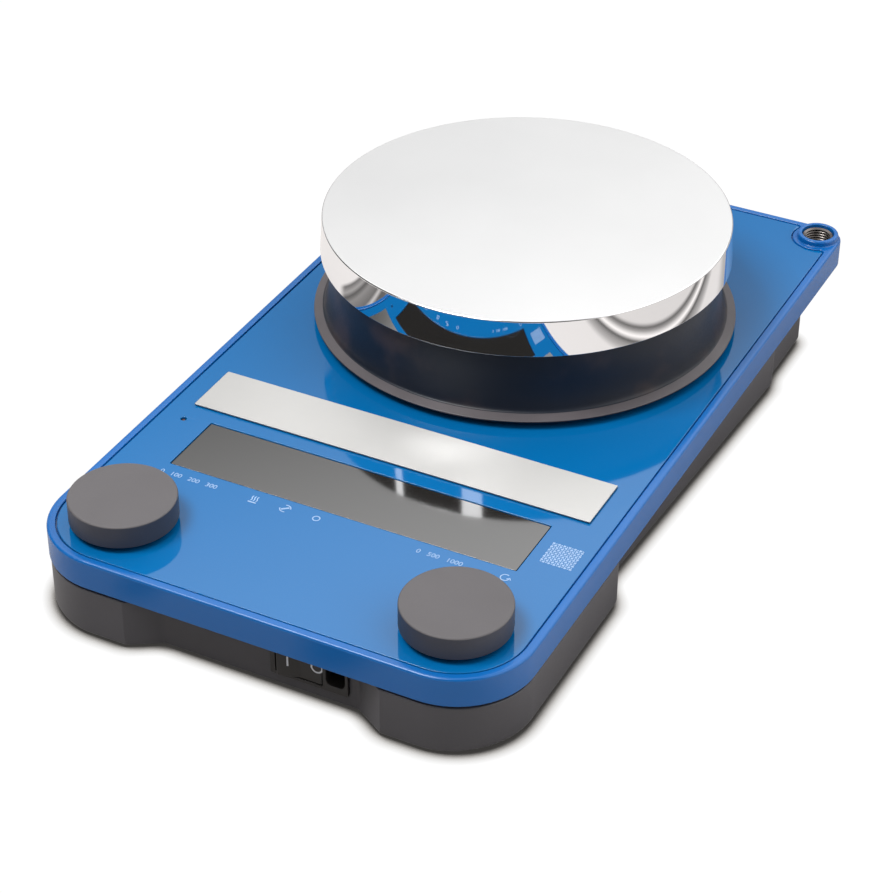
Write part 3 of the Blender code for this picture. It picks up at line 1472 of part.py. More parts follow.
def make_rear_fittings():
    """Fuse holder and probe socket, turned about the Y axis."""
    fuse = turned(
        "fuse_holder",
        [
            (0, FUSE_FLANGE_THICKNESS + FUSE_CAP_LENGTH),
            (FUSE_CAP_RADIUS, FUSE_FLANGE_THICKNESS + FUSE_CAP_LENGTH),
            (FUSE_CAP_RADIUS, FUSE_FLANGE_THICKNESS),
            (FUSE_FLANGE_RADIUS, FUSE_FLANGE_THICKNESS),
            (FUSE_FLANGE_RADIUS, 0),
            (FUSE_BODY_RADIUS, 0),
            (FUSE_BODY_RADIUS, -FUSE_BODY_LENGTH),
            (0, -FUSE_BODY_LENGTH),
        ],
        (FUSE_X, REAR_WALL_Y + SEAT_GAP, FUSE_Z),
        steps=SMALL_STEPS,
        closed=False,
    )
    fuse.rotation_euler = (math.radians(-90), 0, 0)
    finish(fuse, "black_plastic")
    bore_floor = PROBE_FLANGE_THICKNESS - PROBE_BORE_DEPTH
    probe = turned(
        "probe_socket",
        [
            (0, bore_floor),
            (PROBE_BORE_RADIUS, bore_floor),
            (PROBE_BORE_RADIUS, PROBE_FLANGE_THICKNESS),
            (PROBE_FLANGE_RADIUS, PROBE_FLANGE_THICKNESS),
            (PROBE_FLANGE_RADIUS, 0),
            (PROBE_BODY_RADIUS, 0),
            (PROBE_BODY_RADIUS, -PROBE_BODY_LENGTH),
            (0, -PROBE_BODY_LENGTH),
        ],
        (PROBE_X, REAR_WALL_Y + SEAT_GAP, PROBE_Z),
        steps=ROUND_STEPS,
        closed=False,
    )
    probe.rotation_euler = (math.radians(-90), 0, 0)
    finish(probe, "plain_steel")


make_base_housing()
make_feet_and_screws()
make_top_cover()
make_cover_panel()
make_panel_fittings()
make_rod_socket()
make_display()
for knob_name, knob_x in (("temperature", -KNOB_X), ("speed", KNOB_X)):
    make_encoder(knob_name, knob_x)
    make_knob(knob_name, knob_x)
make_heating_plate()
make_heater()
make_heat_shield()
make_standoffs()
make_motor()
make_magnet_drive()
make_power_board()
make_power_switch()
make_power_inlet()
make_rear_fittings()
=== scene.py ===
"""Hotplate stirrer: the finished surfaces, in the photograph's view.

Metres, +Z up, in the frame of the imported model: the front faces -Y and the bench is at zero.
"""
import math

import bmesh
import bpy
from mathutils import Matrix, Vector
from mathutils.geometry import delaunay_2d_cdt


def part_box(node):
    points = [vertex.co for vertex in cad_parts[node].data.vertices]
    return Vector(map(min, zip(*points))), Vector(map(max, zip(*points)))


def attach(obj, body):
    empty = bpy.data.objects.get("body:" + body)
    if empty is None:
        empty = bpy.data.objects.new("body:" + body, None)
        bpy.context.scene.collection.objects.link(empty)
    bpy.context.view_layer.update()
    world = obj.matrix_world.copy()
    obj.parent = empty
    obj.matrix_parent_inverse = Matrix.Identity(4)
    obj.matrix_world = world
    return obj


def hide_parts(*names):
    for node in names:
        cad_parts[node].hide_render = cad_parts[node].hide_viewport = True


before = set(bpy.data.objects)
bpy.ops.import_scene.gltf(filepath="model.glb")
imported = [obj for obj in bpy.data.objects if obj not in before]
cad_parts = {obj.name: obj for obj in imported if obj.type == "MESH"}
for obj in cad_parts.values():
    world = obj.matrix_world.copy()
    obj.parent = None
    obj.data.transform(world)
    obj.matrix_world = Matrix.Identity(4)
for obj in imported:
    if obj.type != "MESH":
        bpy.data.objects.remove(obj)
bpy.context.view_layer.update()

# Smoothness of round shapes
CORNER_STEPS = 20
EDGE_STEPS = 4
TURN_STEPS = 160
SMALL_TURN_STEPS = 48
SMOOTH_ANGLE = math.radians(35)
SAME_POINT = 0.000005
OVERRUN = 0.0010

# Cover casting
CORNER_RADIUS = 0.0250
REAR_RADIUS = 0.0082
COVER_WALL = 0.0026
COVER_ROOF = 0.0028
COVER_TOP_EDGE = 0.0009
COVER_LOW_EDGE = 0.0004
RIM_WIDTH = 0.0027
RIM_EDGE = 0.0003
POCKET_DEPTH = 0.0015
GROOVE = 0.0005
PANEL_EDGE = 0.0002
WINDOW_LEDGE = 0.0026
GAP = 0.0003

# Boss for the support rod
BOSS_RADIUS = 0.0072
BOSS_PAD = 0.0016
BOSS_PAD_FILLET = 0.0015
BOSS_FOOT_FILLET = 0.0006
BOSS_TOP_EDGE = 0.0007
BOSS_MOUTH_EDGE = 0.0004
THREAD_PITCH = 0.0010
THREAD_DEPTH = 0.0005

# Housing
HOUSING_TOP = 0.0172
HOUSING_WALL = 0.0032
HOUSING_FLOOR = 0.0052
HOUSING_CLEARANCE = 0.0010
FOOT_UNDERSIDE = 0.0008
HOUSING_TOP_EDGE = 0.0004
HOUSING_LOW_EDGE = (0.0007, 0.0022)
HOUSING_EDGE_BLEND = (0.0560, 0.0760)
REGISTER_TOP = 0.0200
REGISTER_STEP = 0.0020
FLANGE_LOW = 0.0185
HOUSING_HALF_WIDTH = 0.0796
BAY_HALF_WIDTH = 0.0430
BAY_RAMP = 0.0100
BAY_DEPTH = 0.0059
BAY_CORNER = 0.0008
BAY_INNER_CORNER = 0.0045
FLANK_Y = -0.0574
FLANK_LENGTH = 0.0090
WAIST_X = 0.0730
HIP = (0.0788, 0.0760)
TAIL = (0.0768, 0.0820)
REAR_WALL_Y = 0.1120
REAR_WALL_TOP = 0.0251
REAR_WALL_DEPTH = 0.0053
FOOT_BLEND = 0.0050
REAR_FOOT_RADIUS = 0.0120
FLOOR_GRID = 0.0025

# Parts of the drive and the knobs that pass through the cover
DRIVE_HOLE_RADIUS = 0.0440
PANEL_DRIVE_HOLE_RADIUS = 0.0600
KNOB_HOLE_RADIUS = 0.0045
KNOB_EDGE = 0.0006
KNOB_DISH_RADIUS = 0.0135
KNOB_DISH_DEPTH = 0.00035
KNOB_WALL = 0.0018
KNOB_ROOF = 0.0024
KNOB_HUB_RADIUS = 0.0052
KNOB_BORE_RADIUS = 0.0033
KNOB_BORE_DEPTH = 0.0050

# Plate and shield
PLATE_EDGE = 0.0005
PLATE_LOW_EDGE = 0.00015
PLATE_DRAFT = (0.0002, 0.0005)
PLATE_RIM = 0.0142
PLATE_RECESS = 0.0082
SHIELD_TOP_RADIUS = 0.0660
SHIELD_WALL = 0.0016
SHIELD_FLARE_HEIGHT = 0.0105
SHIELD_CREASE = (0.0684, 0.0323)
SHIELD_LIP_TOP = 0.0312
SHIELD_SEAT = 0.0002

# Switch in the front bay
BEZEL_THICKNESS = 0.0008
BEZEL_BORDER = 0.0004
SWITCH_SHELL = 0.0006
RECESS_WIDTH = 0.0062
RECESS_DEPTH = 0.0070
RECESS_CORNER = 0.0018
RECESS_LIFT = 0.0014
SWITCH_CAVITY_DEPTH = 0.0114
ROCKER_HALF_LENGTH = 0.0072
ROCKER_FRONT = 0.0040
ROCKER_VEE = 0.0010
ROCKER_SHOULDER = 0.0005
ROCKER_BELLY = 0.0036
ROCKER_TILT = math.radians(8)
ROCKER_MARK_REACH = 0.0046
ROCKER_MARK_SHIFT = (0.0009, 0.0017)
SWITCH_MARK_HEIGHT = 0.0041
SWITCH_MARK_STROKE = 0.00055

# Rear fittings
INLET_CAVITY = (0.0245, 0.0164, 0.0150)
INLET_BODY = (0.0269, 0.0188)
INLET_BEZEL = 0.0020
INLET_KEY = 0.0045
FUSE_FLANGE = 0.0015
FUSE_FLANGE_RADIUS = 0.0080
FUSE_CAP_RADIUS = 0.0054
FUSE_BODY_RADIUS = 0.0060
PROBE_FLANGE = 0.0016
PROBE_BODY_RADIUS = 0.0070
PROBE_BORE_RADIUS = 0.0055
PROBE_BORE_DEPTH = 0.0080

# Direction in which the strip's brushing spreads its reflections
BRUSH_MAP = "across_the_lines"

# Marks printed on the panel
PRINT_HEIGHT = 0.00004
PRINT_ROW_Y = -0.0928
PRINT_STROKE = 0.00034
DIGIT_SIZE = 0.0027
CODE_SQUARE = (0.0634, -0.0812, 0.0104)

# Studio
FLOOR_TONE = (0.65, 0.622, 0.605)
# Painted shade beside the unit on the floor that other surfaces see: nearer the middle across X than this span, the
# tone drops to this level
NEAR_UNIT_PAINTED_SHADE_SPAN = (0.095, 0.115)
NEAR_UNIT_PAINTED_SHADE_LEVEL = 0.6
# Painted contact shade for the camera's view of the floor: glow colours by ambient occlusion
FLOOR_SHADE = (
    (0.46, (0.045, 0.043, 0.041)),
    (0.56, (0.21, 0.20, 0.19)),
    (0.63, (0.40, 0.385, 0.37)),
    (0.70, (0.58, 0.565, 0.55)),
    (0.77, (0.73, 0.718, 0.705)),
    (0.85, (0.84, 0.832, 0.824)),
    (0.92, (0.92, 0.917, 0.914)),
    (0.99, (1.02, 1.02, 1.02)),
)
FLOOR_SHADE_REACH = 0.0050
FOLD_SPAN = (0.09, 0.19)
# Painted shade and highlights of folds on the floor that other surfaces see: grey levels at distances across it
RIGHT_FOLD_SHADING = ((0.149, 1.0), (0.154, 0.60), (0.159, 0.38), (0.162, 0.14), (0.1665, 1.35), (0.171, 0.5), (0.1745, 0.17), (0.1785, 0.92))
LEFT_FOLD_SHADING = ((0.104, 0.16), (0.110, 0.16), (0.114, 0.70), (0.118, 0.20), (0.124, 0.27), (0.129, 0.33), (0.134, 0.14), (0.138, 0.45), (0.143, 0.20), (0.146, 1.0))
FOLD_LEANS = (0.12, 0.25)
LEFT_FOLDS_END = (-0.012, 0.004)
DARK_PATCHES = ((-0.056, -0.172, 0.011), (0.013, -0.174, 0.017))
BACK_LOW, BACK_HIGH = 0.5, 1.85
BACK_RISE = (0.41, 0.55)
BACK_SLANT = 0.25
TOP_LEVEL = 0.75
TOP_RISE = (0.80, 0.96)
DIM_LEVEL = 0.05
DIM_BEARING = -110
DIM_RISE = (-0.15, 0.25)

# Which way a flat shape faces when it is set up on the front or the rear wall
FRONT_FACING = Matrix.Rotation(math.radians(90), 4, "X")
REAR_FACING = Matrix.Rotation(math.radians(180), 4, "Z") @ FRONT_FACING

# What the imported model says
COVER_LOW, COVER_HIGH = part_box("top_cover")
PANEL_LOW, PANEL_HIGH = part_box("cover_panel")
PLATE_LOW, PLATE_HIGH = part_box("heating_plate")
SHIELD_LOW, SHIELD_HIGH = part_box("heat_shield")
WINDOW_LOW, WINDOW_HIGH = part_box("display_window")
BADGE_LOW, BADGE_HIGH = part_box("badge_strip")
LAMP_LOW, LAMP_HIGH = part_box("status_lamp")
SOCKET_LOW, SOCKET_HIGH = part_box("rod_socket")
FRONT_Y = COVER_LOW.y
REAR_Y = COVER_HIGH.y
HALF_WIDTH = COVER_HIGH.x
COVER_TOP = PANEL_HIGH.z + 0.0002
PLATE_CENTRE = Vector(((PLATE_LOW.x + PLATE_HIGH.x) / 2, (PLATE_LOW.y + PLATE_HIGH.y) / 2))
PLATE_RADIUS = (PLATE_HIGH.x - PLATE_LOW.x) / 2
BOSS_CENTRE = Vector((HALF_WIDTH - REAR_RADIUS, REAR_Y - REAR_RADIUS))
LAMP_CENTRE = Vector(((LAMP_LOW.x + LAMP_HIGH.x) / 2, (LAMP_LOW.y + LAMP_HIGH.y) / 2))


def middle(node):
    """The middle of a node's box."""
    low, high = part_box(node)
    return (low + high) / 2


# Outlines

def arc(centre, radius, start, end, steps):
    """Points along an arc, with angles in degrees."""
    points = []
    for step in range(steps + 1):
        angle = math.radians(start + (end - start) * step / steps)
        points.append(Vector((centre[0] + radius * math.cos(angle), centre[1] + radius * math.sin(angle))))
    return points


def circle(centre, radius, steps=SMALL_TURN_STEPS):
    """Points round a full circle."""
    return arc(centre, radius, 0, 360, steps)[:-1]


def rounded_path(corners, closed=False, steps=EDGE_STEPS):
    """A line through corners given as (x, y, radius), each turned with its own radius."""
    line = []
    for index, (x, y, radius) in enumerate(corners):
        corner = Vector((x, y))
        at_end = index in (0, len(corners) - 1) and not closed
        if radius == 0 or at_end:
            line.append(corner)
            continue
        back = (Vector(corners[index - 1][:2]) - corner).normalized()
        ahead = (Vector(corners[(index + 1) % len(corners)][:2]) - corner).normalized()
        half = back.angle(ahead) / 2
        reach = radius / math.tan(half)
        centre = corner + (back + ahead).normalized() * radius / math.sin(half)
        spoke = corner + back * reach - centre
        last = corner + ahead * reach - centre
        sweep = math.atan2(spoke.cross(last), spoke.dot(last))
        for step in range(steps + 1):
            turn = Matrix.Rotation(sweep * step / steps, 2)
            line.append(centre + turn @ spoke)
    return line


def cleaned(loop):
    """A closed outline without points that lie on each other."""
    return [point for index, point in enumerate(loop) if (point - loop[index - 1]).length > SAME_POINT]


def offset(loop, inward):
    """A closed outline moved inward, square to each of its edges."""
    moved = []
    for index, point in enumerate(loop):
        before = (point - loop[index - 1]).normalized()
        after = (loop[(index + 1) % len(loop)] - point).normalized()
        normal = Vector((-before.y - after.y, before.x + after.x)).normalized()
        moved.append(point + normal * (inward / normal.dot(Vector((-after.y, after.x)))))
    return moved


def box_outline(low, high, radius, steps=EDGE_STEPS):
    """A rectangle with round corners."""
    corners = [(high[0], low[1]), (high[0], high[1]), (low[0], high[1]), (low[0], low[1])]
    return rounded_path([(x, y, radius) for x, y in corners], closed=True, steps=steps)


def cover_outline():
    """Plan of the cover: large round corners in front, small ones behind."""
    corners = [
        (HALF_WIDTH, FRONT_Y, CORNER_RADIUS),
        (HALF_WIDTH, REAR_Y, REAR_RADIUS),
        (-HALF_WIDTH, REAR_Y, REAR_RADIUS),
        (-HALF_WIDTH, FRONT_Y, CORNER_RADIUS),
    ]
    return rounded_path(corners, closed=True, steps=CORNER_STEPS)


def pocket_outline():
    """Plan of the pocket for the panel, which curls round the rod's boss."""
    side = HALF_WIDTH - RIM_WIDTH
    front = FRONT_Y + RIM_WIDTH
    rear = REAR_Y - RIM_WIDTH
    pad = BOSS_RADIUS + BOSS_PAD
    near = side - BOSS_PAD_FILLET - BOSS_CENTRE.x
    far = math.sqrt((pad + BOSS_PAD_FILLET) ** 2 - near ** 2)
    lean = math.degrees(math.atan2(far, near))
    round_boss = (
        arc(BOSS_CENTRE + Vector((near, -far)), BOSS_PAD_FILLET, 0, 180 - lean, CORNER_STEPS // 2)
        + arc(BOSS_CENTRE, pad, -lean, lean - 270, 2 * CORNER_STEPS)
        + arc(BOSS_CENTRE + Vector((-far, near)), BOSS_PAD_FILLET, lean - 90, 90, CORNER_STEPS // 2)
    )
    front_corner = CORNER_RADIUS - RIM_WIDTH
    rear_corner = REAR_RADIUS - RIM_WIDTH
    return cleaned(
        arc((side - front_corner, front + front_corner), front_corner, -90, 0, CORNER_STEPS)
        + round_boss
        + arc((rear_corner - side, rear - rear_corner), rear_corner, 90, 180, CORNER_STEPS)
        + arc((front_corner - side, front + front_corner), front_corner, 180, 270, CORNER_STEPS)
    )


def housing_outline(bay_corner=BAY_CORNER):
    """Plan of the housing: feet in front, a waist along each side and a plain tail."""
    side = HOUSING_HALF_WIDTH
    front = FRONT_Y + HALF_WIDTH - side
    corner = CORNER_RADIUS - (HALF_WIDTH - side)
    step_y = REAR_WALL_Y - REAR_WALL_DEPTH
    right = rounded_path(
        [
            (0, front + BAY_DEPTH, 0),
            (BAY_HALF_WIDTH - BAY_RAMP, front + BAY_DEPTH, 0.0040),
            (BAY_HALF_WIDTH, front, bay_corner),
            (side - corner, front, 0),
        ]
    )[1:]
    right += arc((side - corner, front + corner), corner, -90, 0, CORNER_STEPS)
    right += rounded_path(
        [
            (side, FRONT_Y + corner, 0),
            (side, FLANK_Y, 0.0060),
            (WAIST_X, FLANK_Y + FLANK_LENGTH, 0.0060),
            (*HIP, 0.0040),
            (*TAIL, 0.0030),
            (TAIL[0], step_y - GAP / 2, 0),
            (TAIL[0], step_y + GAP / 2, 0),
            (TAIL[0], REAR_WALL_Y, 0.0050),
            (0, REAR_WALL_Y, 0),
        ],
        steps=8,
    )[1:-1]
    left = [Vector((-point.x, point.y)) for point in reversed(right)]
    return cleaned(right + left)


def foot_zone(side):
    """Plan of the deeper moulding round one front foot, drawn past the housing's edge."""
    corners = [(0.0335, -0.16), (0.10, -0.16), (0.10, -0.048), (0.058, -0.0555), (0.044, -0.0795), (0.0335, -0.1365)]
    points = [Vector((side * x, y)) for x, y in corners]
    return points if side > 0 else points[::-1]


def depth_inside(point, loop):
    """How far a point lies inside an outline that runs anticlockwise, negative outside."""
    nearest = math.inf
    inside = False
    for index, end in enumerate(loop):
        start = loop[index - 1]
        along = end - start
        share = max(0.0, min(1.0, (point - start).dot(along) / along.length_squared))
        nearest = min(nearest, (point - start - along * share).length)
        if (start.y > point.y) != (end.y > point.y):
            crossing = start.x + (point.y - start.y) / along.y * along.x
            if point.x < crossing:
                inside = not inside
    return nearest if inside else -nearest


def eased(share):
    """A share from 0 to 1, with a gentle start and end."""
    share = max(0.0, min(1.0, share))
    return share * share * (3 - 2 * share)


FOOT_ZONES = [foot_zone(side) for side in (-1, 1)]
REAR_FEET = [middle(f"rubber_foot_rear_{side}").xy for side in ("left", "right")]


def housing_underside(point):
    """Height of the housing's underside, which drops softly to its feet."""
    depths = [depth_inside(point, zone) for zone in FOOT_ZONES]
    depths += [REAR_FOOT_RADIUS - (point - foot).length for foot in REAR_FEET]
    share = eased(max(depths) / FOOT_BLEND + 0.5)
    return HOUSING_CLEARANCE + (FOOT_UNDERSIDE - HOUSING_CLEARANCE) * share


# Meshes

def ring(shape, points, height):
    """One loop of vertices at a height, or at a height for each point."""
    heights = height if isinstance(height, list) else [height] * len(points)
    return [shape.verts.new((point[0], point[1], z)) for point, z in zip(points, heights)]


def skin(shape, rings, closed=False):
    """Faces between loops that follow each other."""
    pairs = list(zip(rings, rings[1:]))
    if closed:
        pairs.append((rings[-1], rings[0]))
    for lower, upper in pairs:
        for index in range(len(lower)):
            shape.faces.new((lower[index - 1], lower[index], upper[index], upper[index - 1]))


def close_off(shape, loop):
    """One flat face across a loop."""
    shape.faces.new(loop)


def flat_fill(shape, loops):
    """Flat faces between an outer loop and the holes in it."""
    edges = []
    for loop in loops:
        for index, vertex in enumerate(loop):
            pair = (loop[index - 1], vertex)
            edges.append(shape.edges.get(pair) or shape.edges.new(pair))
    bmesh.ops.triangle_fill(shape, use_beauty=True, use_dissolve=False, edges=edges)


def rings_along(shape, outline, section):
    """Loops for a section of (inset, height) carried round an outline."""
    return [ring(shape, offset(outline, inset), height) for inset, height in section]


def turn(shape, section, centre=(0, 0), steps=TURN_STEPS, closed=False):
    """A section of (radius, height) turned round an upright axis, with flat ends unless it is closed."""
    rings = [ring(shape, circle(centre, radius, steps), height) for radius, height in section]
    skin(shape, rings, closed)
    if not closed:
        close_off(shape, rings[0])
        close_off(shape, rings[-1])
    return rings


def sheet(shape, outline, holes, low, high, edge):
    """A flat sheet with holes, its upper edges rounded."""
    section = rounded_path([(0, low, 0), (0, high, edge), (edge, high, 0)])
    outer = rings_along(shape, outline, section[:-1])
    hole_section = rounded_path([(0, low, 0), (0, high, edge), (-edge, high, 0)])
    inner = [rings_along(shape, hole, hole_section[:-1]) for hole in holes]
    for rings in (outer, *inner):
        skin(shape, rings)
    flat_fill(shape, [rings[-1] for rings in (outer, *inner)])
    flat_fill(shape, [rings[0] for rings in (outer, *inner)])


def smooth(mesh):
    """Smooth shading, with a sharp line only where a corner is sharp."""
    mesh.shade_smooth()
    mesh.set_sharp_from_angle(angle=SMOOTH_ANGLE)


def piece(name, shape, *materials, matrix=None):
    """An object from a built shape, with outward faces and even shading."""
    bmesh.ops.recalc_face_normals(shape, faces=shape.faces)
    mesh = bpy.data.meshes.new(name)
    shape.to_mesh(mesh)
    shape.free()
    if matrix is not None:
        mesh.transform(matrix)
    smooth(mesh)
    for material in materials:
        mesh.materials.append(material)
    made = bpy.data.objects.new(name, mesh)
    bpy.context.scene.collection.objects.link(made)
    made.modifiers.new("even_shading", "WEIGHTED_NORMAL").keep_sharp = True
    return made


def carve(made, steps):
    """Joins or cuts a piece with other shapes, and keeps only the result."""
    made.modifiers.clear()
    for operation, tool in steps:
        change = made.modifiers.new(operation.lower(), "BOOLEAN")
        change.operation = operation
        change.object = tool
    bpy.context.view_layer.update()
    result = bpy.data.meshes.new_from_object(made.evaluated_get(bpy.context.evaluated_depsgraph_get()))
    made.modifiers.clear()
    made.data = result
    result.name = made.name
    smooth(result)
    for _, tool in steps:
        bpy.data.objects.remove(tool, do_unlink=True)
    made.modifiers.new("even_shading", "WEIGHTED_NORMAL").keep_sharp = True
    return made


def top_faces(made, least):
    """Gives the second finish to the faces that look up at least this much."""
    for face in made.data.polygons:
        face.material_index = 1 if face.normal.z > least else 0


def fit(made, body, slot, *nodes):
    """Puts a piece on its body and hides the plain nodes that it stands for; its slot argument is not used."""
    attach(made, body)
    if nodes:
        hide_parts(*nodes)
    return made


# Effects that several finishes share

def new_group(name, inputs, outputs):
    """An empty shader group with named inputs and outputs."""
    group = bpy.data.node_groups.new(name, "ShaderNodeTree")
    for label, kind, value in inputs:
        socket = group.interface.new_socket(name=label, in_out="INPUT", socket_type=kind)
        socket.default_value = value
    for label, kind in outputs:
        group.interface.new_socket(name=label, in_out="OUTPUT", socket_type=kind)
    return group, group.nodes.new("NodeGroupInput"), group.nodes.new("NodeGroupOutput")


def noise(tree, scale, detail=2.0, roughness=0.5):
    """A noise texture on the piece's own coordinates."""
    place = tree.nodes.new("ShaderNodeTexCoord")
    texture = tree.nodes.new("ShaderNodeTexNoise")
    texture.inputs["Detail"].default_value = detail
    texture.inputs["Roughness"].default_value = roughness
    tree.links.new(place.outputs["Object"], texture.inputs["Vector"])
    if isinstance(scale, (int, float)):
        texture.inputs["Scale"].default_value = scale
    else:
        tree.links.new(scale, texture.inputs["Scale"])
    return texture


def math_node(tree, operation, first, second):
    """A math node whose inputs are sockets or numbers."""
    node = tree.nodes.new("ShaderNodeMath")
    node.operation = operation
    for socket, value in zip(node.inputs, (first, second)):
        if isinstance(value, (int, float)):
            socket.default_value = value
        else:
            tree.links.new(value, socket)
    return node.outputs[0]


def mix_colour(tree, share, first, second, blend="MIX"):
    """A colour mix whose inputs are sockets or values."""
    node = tree.nodes.new("ShaderNodeMix")
    node.data_type = "RGBA"
    node.blend_type = blend
    for socket, value in zip((node.inputs[0], node.inputs[6], node.inputs[7]), (share, first, second)):
        if isinstance(value, bpy.types.NodeSocket):
            tree.links.new(value, socket)
        else:
            socket.default_value = value
    return node.outputs[2]


def eased_range(tree, value, span, levels):
    """A value carried smoothly from one level to another over a span."""
    node = tree.nodes.new("ShaderNodeMapRange")
    node.interpolation_type = "SMOOTHSTEP"
    node.inputs["From Min"].default_value, node.inputs["From Max"].default_value = span
    node.inputs["To Min"].default_value, node.inputs["To Max"].default_value = levels
    tree.links.new(value, node.inputs["Value"])
    return node.outputs[0]


def mix_value(tree, share, first, second):
    """A mix of two numbers, given as sockets or plain values."""
    node = tree.nodes.new("ShaderNodeMix")
    for socket, value in zip(node.inputs[:1] + node.inputs[2:4], (share, first, second)):
        if isinstance(value, bpy.types.NodeSocket):
            tree.links.new(value, socket)
        else:
            socket.default_value = value
    return node.outputs[0]


def make_tone_group():
    """A slow drift of the colour, lighter and darker, over the surface."""
    group, start, end = new_group(
        "tone_drift",
        [("Colour", "NodeSocketColor", (0.5, 0.5, 0.5, 1)), ("Scale", "NodeSocketFloat", 20), ("Amount", "NodeSocketFloat", 0.1)],
        [("Colour", "NodeSocketColor")],
    )
    field = noise(group, start.outputs["Scale"], 4.0)
    centred = math_node(group, "SUBTRACT", field.outputs["Fac"], 0.5)
    swing = math_node(group, "MULTIPLY", centred, start.outputs["Amount"])
    factor = math_node(group, "MULTIPLY_ADD", swing, 4.0)
    factor.node.inputs[2].default_value = 1.0
    scaled = group.nodes.new("ShaderNodeVectorMath")
    scaled.operation = "SCALE"
    group.links.new(start.outputs["Colour"], scaled.inputs[0])
    group.links.new(factor, scaled.inputs["Scale"])
    group.links.new(scaled.outputs[0], end.inputs["Colour"])
    return group


def make_grain_group():
    """Fine relief: a normal, and a roughness that varies with it."""
    group, start, end = new_group(
        "fine_grain",
        [
            ("Scale", "NodeSocketFloat", 1500),
            ("Relief", "NodeSocketFloat", 0.00002),
            ("Roughness", "NodeSocketFloat", 0.5),
            ("Spread", "NodeSocketFloat", 0.05),
        ],
        [("Normal", "NodeSocketVector"), ("Roughness", "NodeSocketFloat"), ("Mask", "NodeSocketFloat")],
    )
    field = noise(group, start.outputs["Scale"], 3.0, 0.6)
    bump = group.nodes.new("ShaderNodeBump")
    group.links.new(field.outputs["Fac"], bump.inputs["Height"])
    group.links.new(start.outputs["Relief"], bump.inputs["Distance"])
    group.links.new(bump.outputs["Normal"], end.inputs["Normal"])
    centred = math_node(group, "SUBTRACT", field.outputs["Fac"], 0.5)
    swing = math_node(group, "MULTIPLY", centred, start.outputs["Spread"])
    group.links.new(math_node(group, "ADD", swing, start.outputs["Roughness"]), end.inputs["Roughness"])
    group.links.new(field.outputs["Fac"], end.inputs["Mask"])
    return group


def make_brush_group():
    """Straight brushed lines: a normal, a roughness and a mask, stretched along one direction."""
    group, start, end = new_group(
        "brushed_lines",
        [
            ("Stretch", "NodeSocketVector", (1.0, 60.0, 60.0)),
            ("Scale", "NodeSocketFloat", 60),
            ("Relief", "NodeSocketFloat", 0.00001),
            ("Roughness", "NodeSocketFloat", 0.3),
            ("Spread", "NodeSocketFloat", 0.2),
        ],
        [("Normal", "NodeSocketVector"), ("Roughness", "NodeSocketFloat"), ("Mask", "NodeSocketFloat")],
    )
    field = noise(group, start.outputs["Scale"], 5.0, 0.65)
    place = field.inputs["Vector"].links[0].from_socket
    stretched = group.nodes.new("ShaderNodeVectorMath")
    stretched.operation = "MULTIPLY"
    group.links.new(place, stretched.inputs[0])
    group.links.new(start.outputs["Stretch"], stretched.inputs[1])
    group.links.new(stretched.outputs[0], field.inputs["Vector"])
    bump = group.nodes.new("ShaderNodeBump")
    group.links.new(field.outputs["Fac"], bump.inputs["Height"])
    group.links.new(start.outputs["Relief"], bump.inputs["Distance"])
    group.links.new(bump.outputs["Normal"], end.inputs["Normal"])
    centred = math_node(group, "SUBTRACT", field.outputs["Fac"], 0.5)
    swing = math_node(group, "MULTIPLY", centred, start.outputs["Spread"])
    group.links.new(math_node(group, "ADD", swing, start.outputs["Roughness"]), end.inputs["Roughness"])
    group.links.new(field.outputs["Fac"], end.inputs["Mask"])
    return group


def make_dust_group():
    """A few pale specks of dust, only where the surface faces up."""
    group, start, end = new_group(
        "settled_dust",
        [
            ("Colour", "NodeSocketColor", (0.5, 0.5, 0.5, 1)),
            ("Dust", "NodeSocketColor", (0.6, 0.58, 0.55, 1)),
            ("Scale", "NodeSocketFloat", 3200),
            ("Amount", "NodeSocketFloat", 0.1),
        ],
        [("Colour", "NodeSocketColor")],
    )
    field = noise(group, start.outputs["Scale"], 2.0, 0.7)
    specks = group.nodes.new("ShaderNodeMapRange")
    specks.inputs["From Min"].default_value = 0.62
    specks.inputs["From Max"].default_value = 0.78
    group.links.new(field.outputs["Fac"], specks.inputs["Value"])
    facing = group.nodes.new("ShaderNodeSeparateXYZ")
    group.links.new(group.nodes.new("ShaderNodeNewGeometry").outputs["Normal"], facing.inputs[0])
    upward = math_node(group, "MAXIMUM", facing.outputs["Z"], 0.0)
    share = math_node(group, "MULTIPLY", specks.outputs[0], upward)
    amount = math_node(group, "MULTIPLY", share, start.outputs["Amount"])
    group.links.new(mix_colour(group, amount, start.outputs["Colour"], start.outputs["Dust"]), end.inputs["Colour"])
    return group


TONE = make_tone_group()
GRAIN = make_grain_group()
BRUSH = make_brush_group()
DUST = make_dust_group()


# Finishes

def use_group(tree, group, **values):
    """Places a shared effect in a material with its own values."""
    node = tree.nodes.new("ShaderNodeGroup")
    node.node_tree = group
    for label, value in values.items():
        socket = node.inputs[label.capitalize()]
        if isinstance(value, bpy.types.NodeSocket):
            tree.links.new(value, socket)
        else:
            socket.default_value = value
    return node


def finish(name, colour, roughness, metallic=0.0, tone=(20, 0.06), grain=(1500, 0.00001, 0.06), dust=0.0):
    """A material with slow tone, fine grain and a little dust."""
    material = bpy.data.materials.new(name)
    material.use_nodes = True
    tree = material.node_tree
    shader = tree.nodes["Principled BSDF"]
    shader.inputs["Metallic"].default_value = metallic
    toned = use_group(tree, TONE, colour=(*colour, 1), scale=tone[0], amount=tone[1])
    settled = use_group(tree, DUST, colour=toned.outputs["Colour"], amount=dust)
    grained = use_group(tree, GRAIN, scale=grain[0], relief=grain[1], roughness=roughness, spread=grain[2])
    tree.links.new(settled.outputs["Colour"], shader.inputs["Base Color"])
    tree.links.new(grained.outputs["Normal"], shader.inputs["Normal"])
    tree.links.new(grained.outputs["Roughness"], shader.inputs["Roughness"])
    return material


